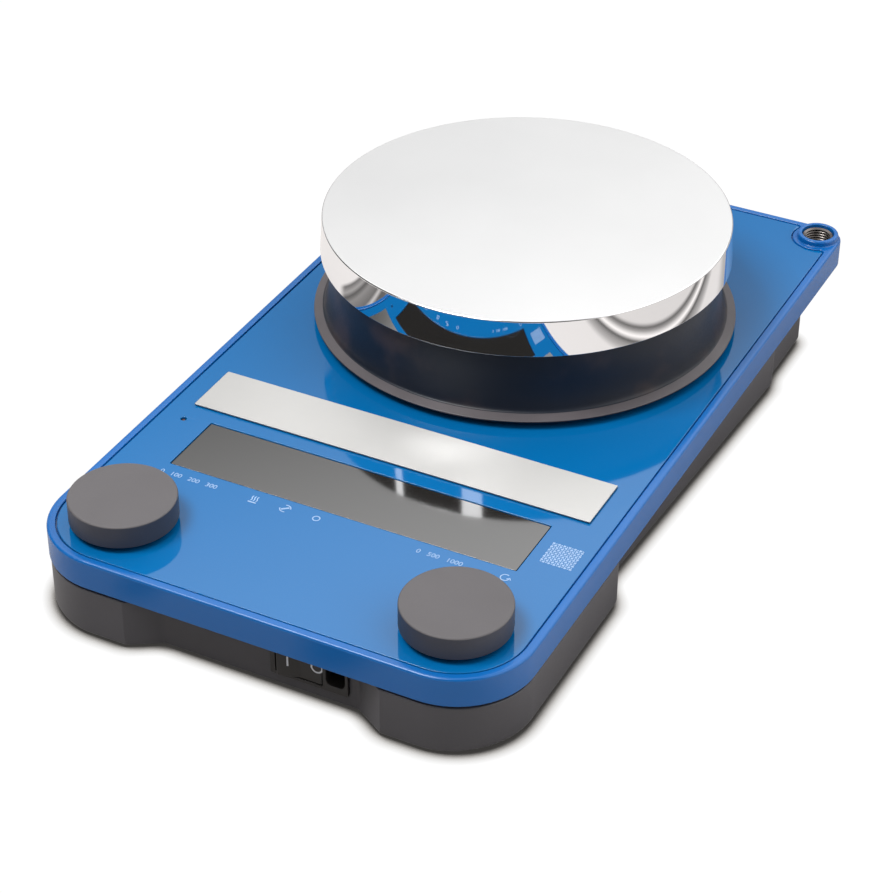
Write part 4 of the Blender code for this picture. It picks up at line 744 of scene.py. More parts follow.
def brushed(name, colour, roughness, stretch, scale=60, relief=0.000006, spread=0.25, shade=0.12):
    """A bare metal with straight brushed lines."""
    material = bpy.data.materials.new(name)
    material.use_nodes = True
    tree = material.node_tree
    shader = tree.nodes["Principled BSDF"]
    shader.inputs["Metallic"].default_value = 1.0
    lines = use_group(tree, BRUSH, stretch=stretch, scale=scale, relief=relief, roughness=roughness, spread=spread)
    dark = tuple(channel * (1 - shade) for channel in colour)
    light = tuple(min(1.0, channel * (1 + shade / 2)) for channel in colour)
    shaded = mix_colour(tree, lines.outputs["Mask"], (*dark, 1), (*light, 1))
    toned = use_group(tree, TONE, colour=shaded, scale=30, amount=0.04)
    tree.links.new(toned.outputs["Colour"], shader.inputs["Base Color"])
    tree.links.new(lines.outputs["Normal"], shader.inputs["Normal"])
    tree.links.new(lines.outputs["Roughness"], shader.inputs["Roughness"])
    return material


def cover_enamel():
    """Blue enamel of the casting, smooth with a slight orange peel."""
    return finish("cover_enamel", (0.002, 0.118, 0.40), 0.24, tone=(14, 0.04), grain=(260, 0.0000012, 0.03))


def panel_lacquer():
    """Deep blue under a hard clear gloss."""
    return finish("panel_lacquer", (0.001, 0.128, 0.36), 0.06, tone=(9, 0.03), grain=(1400, 0.0000004, 0.02), dust=0.03)


def window_film():
    """The unlit display's dark sheet, which mirrors strongly."""
    material = finish("window_film", (0.012, 0.011, 0.010), 0.07, tone=(18, 0.05), grain=(1400, 0.0000004, 0.02), dust=0.02)
    material.node_tree.nodes["Principled BSDF"].inputs["IOR"].default_value = 2.15
    return material


def plate_polish():
    """Mirror polish on the plate's edge, with a slight ripple from turning."""
    return finish("plate_polish", (0.86, 0.86, 0.87), 0.03, 1.0, tone=(6, 0.02), grain=(40, 0.000002, 0.015))


def plate_satin():
    """Satin top of the plate, with faint cloudy wear."""
    return finish("plate_satin", (0.90, 0.90, 0.90), 0.32, 1.0, tone=(16, 0.03), grain=(2200, 0.000004, 0.14), dust=0.03)


def shield_black():
    """Black heat shield, mottled blue and brown by heat."""
    material = finish("shield_black", (0.020, 0.020, 0.026), 0.40, tone=(45, 0.20), grain=(1300, 0.000012, 0.16))
    tree = material.node_tree
    toned = next(node for node in tree.nodes if node.type == "GROUP" and node.node_tree == TONE)
    blotches = noise(tree, 38, 3.0)
    share = eased_range(tree, blotches.outputs["Fac"], (0.44, 0.64), (0, 1))
    tree.links.new(mix_colour(tree, share, (0.008, 0.012, 0.022, 1), (0.044, 0.031, 0.033, 1)), toned.inputs["Colour"])
    tree.nodes["Principled BSDF"].inputs["Specular IOR Level"].default_value = 0.35
    return material


def badge_steel():
    """Strip of fine brushed steel, which draws reflections out across its lines."""
    material = brushed("badge_steel", (0.46, 0.455, 0.445), 0.50, (1.0, 60.0, 60.0), 110, 0.0000015, 0.10, 0.06)
    tree = material.node_tree
    shader = tree.nodes["Principled BSDF"]
    shader.inputs["Anisotropic"].default_value = 0.85
    across = tree.nodes.new("ShaderNodeTangent")
    across.direction_type = "UV_MAP"
    across.uv_map = BRUSH_MAP
    tree.links.new(across.outputs["Tangent"], shader.inputs["Tangent"])
    return material


MATERIALS = {
    "cover": cover_enamel(),
    "panel": panel_lacquer(),
    "window": window_film(),
    "badge": badge_steel(),
    "polish": plate_polish(),
    "satin": plate_satin(),
    "shield": shield_black(),
    # Upward faces of the shield's lip: a lighter copy of the shield's black, a painted highlight where the lip faces
    # the light from above
    "shield_lip_painted_highlight": finish("shield_lip_painted_highlight", (0.100, 0.088, 0.094), 0.40, tone=(45, 0.20), grain=(1300, 0.000012, 0.16)),
    "knob": finish("knob_soft_touch", (0.105, 0.098, 0.102), 0.58, tone=(60, 0.05), grain=(1500, 0.00002, 0.10), dust=0.04),
    # Side faces of the knobs: a darker, bluish copy of the knob's grey, painted shade with a painted reflection of the
    # blue panel
    "knob_side_painted_shade": finish("knob_side_painted_shade", (0.046, 0.047, 0.060), 0.50, tone=(60, 0.05), grain=(1500, 0.00002, 0.10)),
    "housing": finish("housing_texture", (0.070, 0.067, 0.074), 0.34, tone=(25, 0.06), grain=(1300, 0.000015, 0.10), dust=0.02),
    "rubber": finish("foot_rubber", (0.025, 0.025, 0.026), 0.75, tone=(80, 0.15), grain=(900, 0.00004, 0.10)),
    "black_plastic": finish("black_plastic", (0.022, 0.021, 0.021), 0.38, tone=(60, 0.10), grain=(1700, 0.00002, 0.10)),
    "switch": finish("switch_plastic", (0.028, 0.025, 0.023), 0.34, tone=(60, 0.10), grain=(1700, 0.00002, 0.10)),
    "print": finish("printed_ink", (0.30, 0.44, 0.66), 0.45, tone=(300, 0.10), grain=(2000, 0.00001, 0.10)),
    "switch_print": finish("switch_ink", (0.80, 0.82, 0.86), 0.50, tone=(300, 0.10), grain=(2000, 0.00001, 0.10)),
    "lamp": finish("lamp_lens", (0.05, 0.02, 0.018), 0.15, tone=(200, 0.10), grain=(900, 0.000002, 0.04)),
    "bush": brushed("threaded_bush", (0.20, 0.18, 0.17), 0.30, (30.0, 30.0, 1.0)),
    "steel": brushed("plain_steel", (0.56, 0.56, 0.57), 0.30, (30.0, 30.0, 1.0)),
    "aluminium": brushed("machined_aluminium", (0.76, 0.77, 0.78), 0.32, (30.0, 30.0, 1.0)),
    "brass": brushed("blade_brass", (0.70, 0.52, 0.24), 0.25, (20.0, 1.0, 20.0)),
    "copper": brushed("enamelled_copper", (0.60, 0.28, 0.14), 0.35, (8.0, 8.0, 90.0)),
    "magnet": finish("nickel_magnet", (0.50, 0.50, 0.51), 0.28, 1.0, tone=(60, 0.08), grain=(900, 0.00001, 0.10)),
    "board": finish("board_mask", (0.018, 0.12, 0.045), 0.35, tone=(90, 0.25), grain=(900, 0.00002, 0.12)),
    "ceramic": finish("fired_ceramic", (0.72, 0.70, 0.65), 0.75, tone=(70, 0.08), grain=(1200, 0.00004, 0.10)),
}


# Cover, panel and what lies in it

def knob_middles():
    """Plan places of the two knobs."""
    return [middle("temperature_knob").xy, middle("speed_knob").xy]


def window_opening(clearance):
    """Plan of the display's opening, larger than the window by a clearance."""
    reach = Vector((clearance, clearance))
    return box_outline(WINDOW_LOW.xy - reach, WINDOW_HIGH.xy + reach, max(0.0004, clearance))


def make_cover():
    """The casting: round rim, side walls, pocket for the panel, and the rod's boss with its bore."""
    shape = bmesh.new()
    outline = cover_outline()
    pocket = pocket_outline()
    ceiling = COVER_TOP - COVER_ROOF
    floor = COVER_TOP - POCKET_DEPTH
    wall = rounded_path(
        [
            (COVER_WALL + 0.0012, ceiling, 0),
            (COVER_WALL, ceiling, 0.0008),
            (COVER_WALL, COVER_LOW.z, COVER_LOW_EDGE),
            (0, COVER_LOW.z, COVER_LOW_EDGE),
            (0, COVER_TOP, COVER_TOP_EDGE),
            (RIM_WIDTH / 2, COVER_TOP, 0),
        ]
    )
    wall_rings = rings_along(shape, outline, wall)
    ledge = rounded_path([(-2 * RIM_EDGE, COVER_TOP, 0), (0, COVER_TOP, RIM_EDGE), (0, floor, 0)])
    pocket_rings = rings_along(shape, pocket, ledge[1:])
    skin(shape, wall_rings)
    skin(shape, pocket_rings)
    flat_fill(shape, [wall_rings[-1], pocket_rings[0]])
    holes = [circle(centre, KNOB_HOLE_RADIUS) for centre in knob_middles()]
    holes.append(circle(PLATE_CENTRE, DRIVE_HOLE_RADIUS, TURN_STEPS))
    holes.append(circle(LAMP_CENTRE, (LAMP_HIGH.x - LAMP_LOW.x) / 2))
    holes.append(window_opening(-WINDOW_LEDGE))
    hole_rings = [[ring(shape, hole, ceiling), ring(shape, hole, floor)] for hole in holes]
    for rings in hole_rings:
        skin(shape, rings)
    flat_fill(shape, [pocket_rings[-1]] + [rings[1] for rings in hole_rings])
    flat_fill(shape, [wall_rings[0]] + [rings[0] for rings in hole_rings])
    cover = piece("cover_casting", shape, MATERIALS["cover"])
    carve(cover, [("UNION", boss_post()), ("DIFFERENCE", boss_bore())])
    return fit(cover, "unit", "cover_paint", "top_cover")


def boss_post():
    """The round post of the boss, from under the roof to above the rim."""
    foot = COVER_LOW.z + 0.0005
    seat = COVER_TOP - 0.00003
    wide = BOSS_RADIUS + BOSS_FOOT_FILLET
    section = rounded_path(
        [
            (BOSS_RADIUS / 4, foot, 0),
            (BOSS_RADIUS, foot, BOSS_MOUTH_EDGE),
            (BOSS_RADIUS, seat - 0.0006, 0),
            (wide, seat - 0.0006, 0),
            (wide, seat, 0),
            (BOSS_RADIUS, seat, BOSS_FOOT_FILLET * 0.95),
            (BOSS_RADIUS, COVER_HIGH.z, BOSS_TOP_EDGE),
            (BOSS_RADIUS / 4, COVER_HIGH.z, 0),
        ]
    )
    shape = bmesh.new()
    turn(shape, section, BOSS_CENTRE, SMALL_TURN_STEPS)
    return piece("boss_post", shape)


def boss_bore():
    """The bore of the boss, with a rounded mouth."""
    radius = (SOCKET_HIGH.x - SOCKET_LOW.x) / 2 + GAP
    low = COVER_LOW.z - OVERRUN
    mouth = BOSS_MOUTH_EDGE
    section = [(radius, low), (radius, COVER_HIGH.z - mouth)]
    section += arc((radius + mouth, COVER_HIGH.z - mouth), mouth, 180, 90, EDGE_STEPS)[1:]
    section += [(radius + mouth, COVER_HIGH.z + OVERRUN)]
    shape = bmesh.new()
    turn(shape, section, BOSS_CENTRE, SMALL_TURN_STEPS)
    return piece("boss_bore", shape)


def make_rod_socket():
    """The steel bush, threaded inside for a support rod."""
    outer = (SOCKET_HIGH.x - SOCKET_LOW.x) / 2
    crest = outer - 0.0010
    root = crest + THREAD_DEPTH
    low, high = SOCKET_LOW.z, SOCKET_HIGH.z
    section = rounded_path([(root, low, 0), (outer, low, 0.0002), (outer, high, 0.0002), (root + 0.0002, high, 0)])
    turns = int((high - low) / THREAD_PITCH)
    for index in range(turns):
        z = high - (index + 0.5) * THREAD_PITCH
        section += [(crest, z + THREAD_PITCH / 8), (crest, z - THREAD_PITCH / 8), (root, z - THREAD_PITCH / 2)]
    section[-1] = (root - 0.0001, low + 0.0001)
    shape = bmesh.new()
    turn(shape, section, BOSS_CENTRE, SMALL_TURN_STEPS, closed=True)
    return fit(piece("threaded_bush", shape, MATERIALS["bush"]), "unit", "plain_steel", "rod_socket")


def make_panel():
    """The glossy sheet in the cover's pocket, with its holes."""
    shape = bmesh.new()
    holes = [circle(centre, KNOB_HOLE_RADIUS)[::-1] for centre in knob_middles()]
    holes.append(circle(PLATE_CENTRE, PANEL_DRIVE_HOLE_RADIUS, TURN_STEPS)[::-1])
    holes.append(circle(LAMP_CENTRE, 0.0010)[::-1])
    holes.append(window_opening(GAP)[::-1])
    turned_holes = [[point for point in reversed(hole)] for hole in holes]
    outline = offset(pocket_outline(), GROOVE)
    sheet(shape, outline, turned_holes, PANEL_LOW.z, PANEL_HIGH.z, PANEL_EDGE)
    return fit(piece("gloss_panel", shape, MATERIALS["panel"]), "unit", "panel_gloss", "cover_panel")


def make_badge():
    """The bare brushed strip across the panel."""
    shape = bmesh.new()
    outline = box_outline(BADGE_LOW.xy, BADGE_HIGH.xy, 0.0003)
    sheet(shape, outline, [], BADGE_LOW.z, BADGE_HIGH.z, 0.0001)
    strip = piece("steel_strip", shape, MATERIALS["badge"])
    lay = strip.data.uv_layers.new(name=BRUSH_MAP)
    for corner in strip.data.loops:
        place = strip.data.vertices[corner.vertex_index].co
        lay.data[corner.index].uv = (place.y * 5, place.x * 5)
    return fit(strip, "unit", "badge_steel", "badge_strip")


def make_window():
    """The display's glossy front."""
    shape = bmesh.new()
    outline = box_outline(WINDOW_LOW.xy, WINDOW_HIGH.xy, 0.0004)
    sheet(shape, outline, [], WINDOW_LOW.z, WINDOW_HIGH.z, 0.0001)
    return fit(piece("display_glass", shape, MATERIALS["window"]), "unit", "window_grey", "display_window")


def make_lamp():
    """The small round lamp beside the display."""
    radius = 0.0007
    section = rounded_path(
        [
            (radius / 4, LAMP_LOW.z, 0),
            (radius, LAMP_LOW.z, 0.0001),
            (radius, LAMP_HIGH.z, radius * 0.8),
            (radius / 8, LAMP_HIGH.z, 0),
        ]
    )
    shape = bmesh.new()
    turn(shape, section, LAMP_CENTRE, SMALL_TURN_STEPS)
    return fit(piece("lamp_lens", shape, MATERIALS["lamp"]), "unit", "lamp", "status_lamp")


# Heating plate and shield

def make_plate():
    """The plate: satin top, fine round edge and a polished side, a touch wider below."""
    radius = PLATE_RADIUS
    recess = radius - PLATE_RIM
    ceiling = PLATE_LOW.z + PLATE_RECESS
    section = rounded_path(
        [
            (recess / 8, ceiling, 0),
            (recess, ceiling, 0),
            (recess, PLATE_LOW.z, 0.0003),
            (radius + PLATE_DRAFT[1], PLATE_LOW.z, PLATE_LOW_EDGE),
            (radius - PLATE_DRAFT[0], PLATE_HIGH.z, PLATE_EDGE),
            (radius / 8, PLATE_HIGH.z, 0),
        ]
    )
    shape = bmesh.new()
    turn(shape, section, PLATE_CENTRE, 2 * TURN_STEPS)
    plate = piece("polished_plate", shape, MATERIALS["polish"], MATERIALS["satin"])
    top_faces(plate, 0.98)
    return fit(plate, "unit", "plate_steel", "heating_plate")


def make_shield():
    """The dark shield: upright wall, flare and a sloping lip."""
    lip_radius = (SHIELD_HIGH.x - SHIELD_LOW.x) / 2
    flare_low = SHIELD_CREASE[1]
    flare = SHIELD_CREASE[0] - SHIELD_TOP_RADIUS
    inner = SHIELD_TOP_RADIUS - SHIELD_WALL
    top = PLATE_LOW.z + SHIELD_SEAT
    section = [Vector((inner, SHIELD_LOW.z)), Vector((inner, top - 0.0003))]
    section += rounded_path(
        [(inner, top, 0), (SHIELD_TOP_RADIUS, top, 0.0004), (SHIELD_TOP_RADIUS, flare_low + SHIELD_FLARE_HEIGHT, 0)]
    )[:-1]
    for step in range(CORNER_STEPS + 1):
        angle = math.radians(90) * step / CORNER_STEPS
        radius = SHIELD_TOP_RADIUS + flare * (1 - math.cos(angle))
        section.append(Vector((radius, flare_low + SHIELD_FLARE_HEIGHT * (1 - math.sin(angle)))))
    section += rounded_path(
        [
            (*SHIELD_CREASE, 0),
            (lip_radius, SHIELD_LIP_TOP, 0.0003),
            (lip_radius, SHIELD_LOW.z, 0.0003),
            (inner + 0.0010, SHIELD_LOW.z, 0),
        ]
    )[1:]
    shape = bmesh.new()
    turn(shape, section, PLATE_CENTRE, 2 * TURN_STEPS, closed=True)
    shield = piece("flared_shield", shape, MATERIALS["shield"], MATERIALS["shield_lip_painted_highlight"])
    # Upward faces below the crease, which form the lip, get the lighter copy: a painted highlight
    for face in shield.data.polygons:
        face.material_index = 1 if face.center.z < SHIELD_CREASE[1] and face.normal.z > 0 else 0
    return fit(shield, "unit", "shield_black", "heat_shield")


# Knobs

def make_knob(name):
    """A flat disc knob with a shallow dish on top, hollow below."""
    low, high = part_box(name + "_knob")
    centre = (low + high) / 2
    radius = (high.x - low.x) / 2
    bottom, top = low.z, high.z
    hollow = top - KNOB_ROOF
    inner = radius - KNOB_WALL
    section = []
    for step in range(1, 13):
        reach = KNOB_DISH_RADIUS * step / 12
        depth = KNOB_DISH_DEPTH * (1 - eased(step / 12))
        section.append(Vector((reach, top - depth)))
    section += rounded_path(
        [
            (KNOB_DISH_RADIUS, top, 0),
            (radius, top, KNOB_EDGE),
            (radius, bottom, 0.0003),
            (inner, bottom, 0.0002),
            (inner, hollow, 0),
            (KNOB_HUB_RADIUS, hollow, 0),
            (KNOB_HUB_RADIUS, bottom, 0.0002),
            (KNOB_BORE_RADIUS, bottom, 0.0002),
            (KNOB_BORE_RADIUS, bottom + KNOB_BORE_DEPTH, 0),
            (KNOB_BORE_RADIUS / 4, bottom + KNOB_BORE_DEPTH, 0),
        ]
    )[1:]
    shape = bmesh.new()
    turn(shape, section, centre.xy, TURN_STEPS)
    # The side faces take the darker copy (painted shade and painted panel reflection); the faces that look up take the
    # knob's grey
    knob = piece(name + "_disc_knob", shape, MATERIALS["knob_side_painted_shade"], MATERIALS["knob"])
    top_faces(knob, 0.5)
    return fit(knob, name + "_dial", "knob_grey", name + "_knob")


# Housing, feet and screws

def make_housing():
    """The dark tub: waisted walls, soft feet, front bay and rear wall."""
    shape = bmesh.new()
    outline = housing_outline()
    inner = housing_outline(BAY_INNER_CORNER)
    tops = [REAR_WALL_TOP if point.y > REAR_WALL_Y - REAR_WALL_DEPTH else HOUSING_TOP for point in outline]
    lows = [housing_underside(point) for point in outline]
    inner_tops = [max(REGISTER_TOP, top) for top in tops]
    rings = [
        ring(shape, offset(inner, HOUSING_WALL), HOUSING_FLOOR),
        ring(shape, offset(inner, HOUSING_WALL), inner_tops),
        ring(shape, offset(inner, REGISTER_STEP + 0.0004), inner_tops),
        ring(shape, offset(inner, REGISTER_STEP), tops),
    ]
    for inset, drop in rounded_path([(REGISTER_STEP, 0, 0), (0, 0, HOUSING_TOP_EDGE), (0, -0.001, 0)])[1:-1]:
        rings.append(ring(shape, offset(outline, inset), [top + drop for top in tops]))
    radii = [low_edge_radius(point) for point in outline]
    inward = [(moved - point) / OVERRUN for point, moved in zip(outline, offset(outline, OVERRUN))]
    for inset, rise in rounded_path([(0, 5, 0), (0, 0, 1), (5, 0, 0)], steps=2 * EDGE_STEPS)[1:-1]:
        line = [point + side * inset * radius for point, side, radius in zip(outline, inward, radii)]
        rings.append(ring(shape, line, [low + rise * radius for low, radius in zip(lows, radii)]))
    skin(shape, rings)
    flat_fill(shape, [rings[0]])
    fill_underside(shape, rings[-1])
    tub = piece("moulded_housing", shape, MATERIALS["housing"])
    carve(tub, [("UNION", housing_flange()), ("DIFFERENCE", housing_openings())])
    return fit(tub, "unit", "housing_grey", "base_housing")


def low_edge_radius(point):
    """Radius of the housing's lower edge: tight along the front, generous round the corners and sides."""
    tight, generous = HOUSING_LOW_EDGE
    start, full = HOUSING_EDGE_BLEND
    return tight + (generous - tight) * eased((abs(point.x) - start) / (full - start))


def fill_underside(shape, border):
    """The soft underside, as triangles between the border and a grid of points inside it."""
    loop = [vertex.co.xy for vertex in border]
    points = list(loop)
    low_x, high_x = min(p.x for p in loop), max(p.x for p in loop)
    low_y, high_y = min(p.y for p in loop), max(p.y for p in loop)
    for column in range(int((high_x - low_x) / FLOOR_GRID) + 1):
        for row in range(int((high_y - low_y) / FLOOR_GRID) + 1):
            point = Vector((low_x + column * FLOOR_GRID, low_y + row * FLOOR_GRID))
            height = housing_underside(point)
            blending = FOOT_UNDERSIDE < height < HOUSING_CLEARANCE
            if blending and depth_inside(point, loop) > FLOOR_GRID / 2:
                points.append(point)
    made, _, faces, sources, _, _ = delaunay_2d_cdt(points, [], [list(range(len(loop)))], 1, SAME_POINT)
    vertices = []
    for point, origins in zip(made, sources):
        known = [origin for origin in origins if origin < len(loop)]
        if known:
            vertices.append(border[known[0]])
        else:
            vertices.append(shape.verts.new((point.x, point.y, housing_underside(point))))
    for face in faces:
        shape.faces.new([vertices[index] for index in face])


def housing_flange():
    """The ledge that fits inside the cover, and the posts for the screws."""
    shape = bmesh.new()
    cut_y = REAR_WALL_Y - REAR_WALL_DEPTH
    outer = [Vector((p.x, min(p.y, cut_y))) for p in offset(cover_outline(), COVER_WALL + GAP)]
    inner = [Vector((p.x, min(p.y, cut_y - HOUSING_WALL))) for p in offset(housing_outline(BAY_INNER_CORNER), HOUSING_WALL - 0.0002)]
    outer, inner = cleaned(outer), cleaned(inner)
    sheet(shape, outer, [inner], FLANGE_LOW, REGISTER_TOP - 0.0001, 0.0002)
    for number in ("front_left", "front_right", "rear_left", "rear_right"):
        low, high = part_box("housing_screw_" + number)
        centre = ((low + high) / 2).xy
        turn(shape, [(0.0036, HOUSING_FLOOR - 0.0012), (0.0036, high.z - 0.0042)], centre, SMALL_TURN_STEPS)
    return piece("housing_flange", shape)


def slot_outline(centre, width, length):
    """A slot with round ends, along Y."""
    reach = length / 2 - width / 2
    return (
        arc((centre[0], centre[1] + reach), width / 2, 0, 180, 10)
        + arc((centre[0], centre[1] - reach), width / 2, 180, 360, 10)
    )


def plain_block(shape, low, high):
    """A closed block between two corners, for cutting."""
    outline = [Vector(p) for p in ((high[0], low[1]), (high[0], high[1]), (low[0], high[1]), (low[0], low[1]))]
    rings = [ring(shape, outline, low[2]), ring(shape, outline, high[2])]
    skin(shape, rings)
    for loop in rings:
        close_off(shape, loop)


def housing_openings():
    """Everything that is open in the housing: switch, inlet, sockets, vents, pads and screws."""
    shape = bmesh.new()
    switch_low, switch_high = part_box("switch_frame")
    bay_y = FRONT_Y + HALF_WIDTH - HOUSING_HALF_WIDTH + BAY_DEPTH
    plain_block(
        shape,
        (switch_low.x + 0.0001, bay_y - OVERRUN, switch_low.z + 0.0001),
        (switch_high.x - 0.0001, bay_y + HOUSING_WALL + OVERRUN, switch_high.z - 0.0001),
    )
    inlet = middle("power_inlet")
    plain_block(
        shape,
        (inlet.x - 0.0137, REAR_WALL_Y - HOUSING_WALL - OVERRUN, inlet.z - 0.0096),
        (inlet.x + 0.0137, REAR_WALL_Y + OVERRUN, REAR_WALL_TOP + OVERRUN),
    )
    upright = Matrix.Rotation(math.radians(-90), 4, "X")
    for name, radius in (("fuse_holder", 0.0063), ("probe_socket", 0.0073)):
        centre = middle(name)
        bore = bmesh.new()
        turn(bore, [(radius, -HOUSING_WALL - OVERRUN), (radius, OVERRUN)], (0, 0), SMALL_TURN_STEPS)
        place = Matrix.Translation((centre.x, REAR_WALL_Y, centre.z)) @ upright
        bmesh.ops.transform(bore, matrix=place, verts=bore.verts)
        merge(shape, bore)
    for index in range(6):
        outline = slot_outline(((index - 2.5) * 0.0070, PLATE_CENTRE.y - 0.0640), 0.0030, 0.0260)
        rings = [ring(shape, outline, 0), ring(shape, outline, HOUSING_FLOOR + OVERRUN)]
        skin(shape, rings)
        for loop in rings:
            close_off(shape, loop)
    for number in ("front_left", "front_right", "rear_left", "rear_right"):
        pad_low, pad_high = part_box("rubber_foot_" + number)
        pad_radius = (pad_high.x - pad_low.x) / 2 + GAP
        turn(shape, [(pad_radius, -OVERRUN), (pad_radius, pad_high.z + GAP)], ((pad_low + pad_high) / 2).xy, SMALL_TURN_STEPS)
        low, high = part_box("housing_screw_" + number)
        centre = ((low + high) / 2).xy
        section = [(0.0033, -OVERRUN), (0.0033, low.z + 0.0022), (0.0018, low.z + 0.0022), (0.0018, high.z)]
        turn(shape, section, centre, SMALL_TURN_STEPS)
    return piece("housing_openings", shape)


def merge(shape, other):
    """Moves one built shape into another."""
    mesh = bpy.data.meshes.new("merged")
    other.to_mesh(mesh)
    other.free()
    shape.from_mesh(mesh)
    bpy.data.meshes.remove(mesh)


def make_foot_pad(name):
    """A rubber pad with a round edge and two grip rings below."""
    low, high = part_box(name)
    radius = (high.x - low.x) / 2
    section = [(radius / 8, low.z + 0.0003)]
    for reach in (0.35, 0.65):
        section += [(radius * reach, low.z + 0.0003), (radius * (reach + 0.03), low.z), (radius * (reach + 0.12), low.z), (radius * (reach + 0.15), low.z + 0.0003)]
    section += rounded_path([(radius * 0.9, low.z, 0), (radius, low.z, 0.0005), (radius, high.z, 0.0002), (radius / 8, high.z, 0)])
    shape = bmesh.new()
    turn(shape, section, ((low + high) / 2).xy, SMALL_TURN_STEPS)
    return fit(piece(name + "_pad", shape, MATERIALS["rubber"]), "unit", "rubber", name)


def make_screw(name):
    """A pan head screw with a hexagon socket."""
    low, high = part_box(name)
    centre = ((low + high) / 2).xy
    head = (high.x - low.x) / 2
    shank = 0.0013
    neck = low.z + 0.0019
    shape = bmesh.new()
    section = rounded_path(
        [(0.0017, low.z, 0), (head, low.z, 0.0006), (head, neck, 0.0002), (shank, neck, 0), (shank, high.z, 0.0003), (shank / 4, high.z, 0)]
    )
    rings = [ring(shape, circle(centre, radius), height) for radius, height in section]
    hexagon = []
    for index in range(SMALL_TURN_STEPS):
        angle = 2 * math.pi * index / SMALL_TURN_STEPS
        reach = 0.0013 * math.cos(math.radians(30)) / math.cos((angle % math.radians(60)) - math.radians(30))
        hexagon.append(centre + Vector((math.cos(angle), math.sin(angle))) * reach)
    rings = [ring(shape, hexagon, low.z + 0.0011), ring(shape, hexagon, low.z + 0.0001)] + rings
    skin(shape, rings)
    close_off(shape, rings[0])
    close_off(shape, rings[-1])
    return fit(piece(name + "_hex", shape, MATERIALS["steel"]), "unit", "plain_steel", name)


# Switch

def slab(shape, outline, low, high, edge):
    """A solid plate of one outline with round edges above and below."""
    section = rounded_path([(2 * edge, low, 0), (0, low, edge), (0, high, edge), (2 * edge, high, 0)])
    rings = rings_along(shape, outline, section[1:-1])
    skin(shape, rings)
    close_off(shape, rings[0])
    close_off(shape, rings[-1])


def sunk_cutter(name, outline, depth, mouth):
    """A cutter for a well of one outline, wider at its mouth by a small bevel."""
    shape = bmesh.new()
    section = [(0, -depth), (0, -mouth), (-mouth / 3, -mouth / 3), (-mouth, 0), (-mouth, OVERRUN)]
    rings = rings_along(shape, outline, section)
    skin(shape, rings)
    close_off(shape, rings[0])
    close_off(shape, rings[-1])
    return piece(name, shape)


def stroke(shape, line, width, height, closed=False):
    """A printed line of even width along points, raised by its height."""
    rings = []
    for index, point in enumerate(line):
        before = line[index - 1] if closed or index else point
        after = line[(index + 1) % len(line)] if closed or index < len(line) - 1 else point
        side = (after - before).normalized().orthogonal() * (width / 2)
        corners = (point - side, point + side)
        low = [shape.verts.new((*corner, 0)) for corner in corners]
        high = [shape.verts.new((*corner, height)) for corner in reversed(corners)]
        rings.append(low + high)
    skin(shape, rings, closed)
    if not closed:
        close_off(shape, rings[0])
        close_off(shape, rings[-1])


def make_switch_frame():
    """The switch's frame, with the rocker's well and the open recess beside it."""
    low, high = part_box("switch_frame")
    rocker_low, rocker_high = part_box("power_rocker")
    pin = middle("rocker_pin")
    shape = bmesh.new()
    corner = Vector((low.x, low.z))
    far_corner = Vector((high.x, high.z))
    slab(shape, box_outline(corner, far_corner, 0.0006), -BEZEL_THICKNESS, 0, 0.0002)
    bezel = piece("switch_bezel", shape, MATERIALS["switch"])
    border = Vector((BEZEL_BORDER, BEZEL_BORDER))
    body = bmesh.new()
    plain_block(
        body,
        (*(corner + border), low.y - high.y),
        (*(far_corner - border), -BEZEL_THICKNESS / 2),
    )
    reach = max(pin.x - rocker_low.x, rocker_high.x - pin.x) + GAP / 2
    well_low = Vector((pin.x - reach, rocker_low.z - GAP / 2))
    well_high = Vector((pin.x + reach, rocker_high.z + GAP / 2))
    well = sunk_cutter("rocker_well", box_outline(well_low, well_high, 0.0004), SWITCH_CAVITY_DEPTH, 0.0002)
    side = high.x - BEZEL_BORDER - SWITCH_SHELL
    recess_outline = box_outline((side - RECESS_WIDTH, well_low.y + RECESS_LIFT), (side, well_high.y), RECESS_CORNER)
    recess = sunk_cutter("open_recess", recess_outline, RECESS_DEPTH, 0.0002)
    steps = [("UNION", piece("switch_body", body)), ("DIFFERENCE", well), ("DIFFERENCE", recess)]
    carve(bezel, steps)
    bezel.data.transform(Matrix.Translation((0, low.y, 0)) @ FRONT_FACING)
    return fit(bezel, "unit", "black_plastic", "switch_frame")


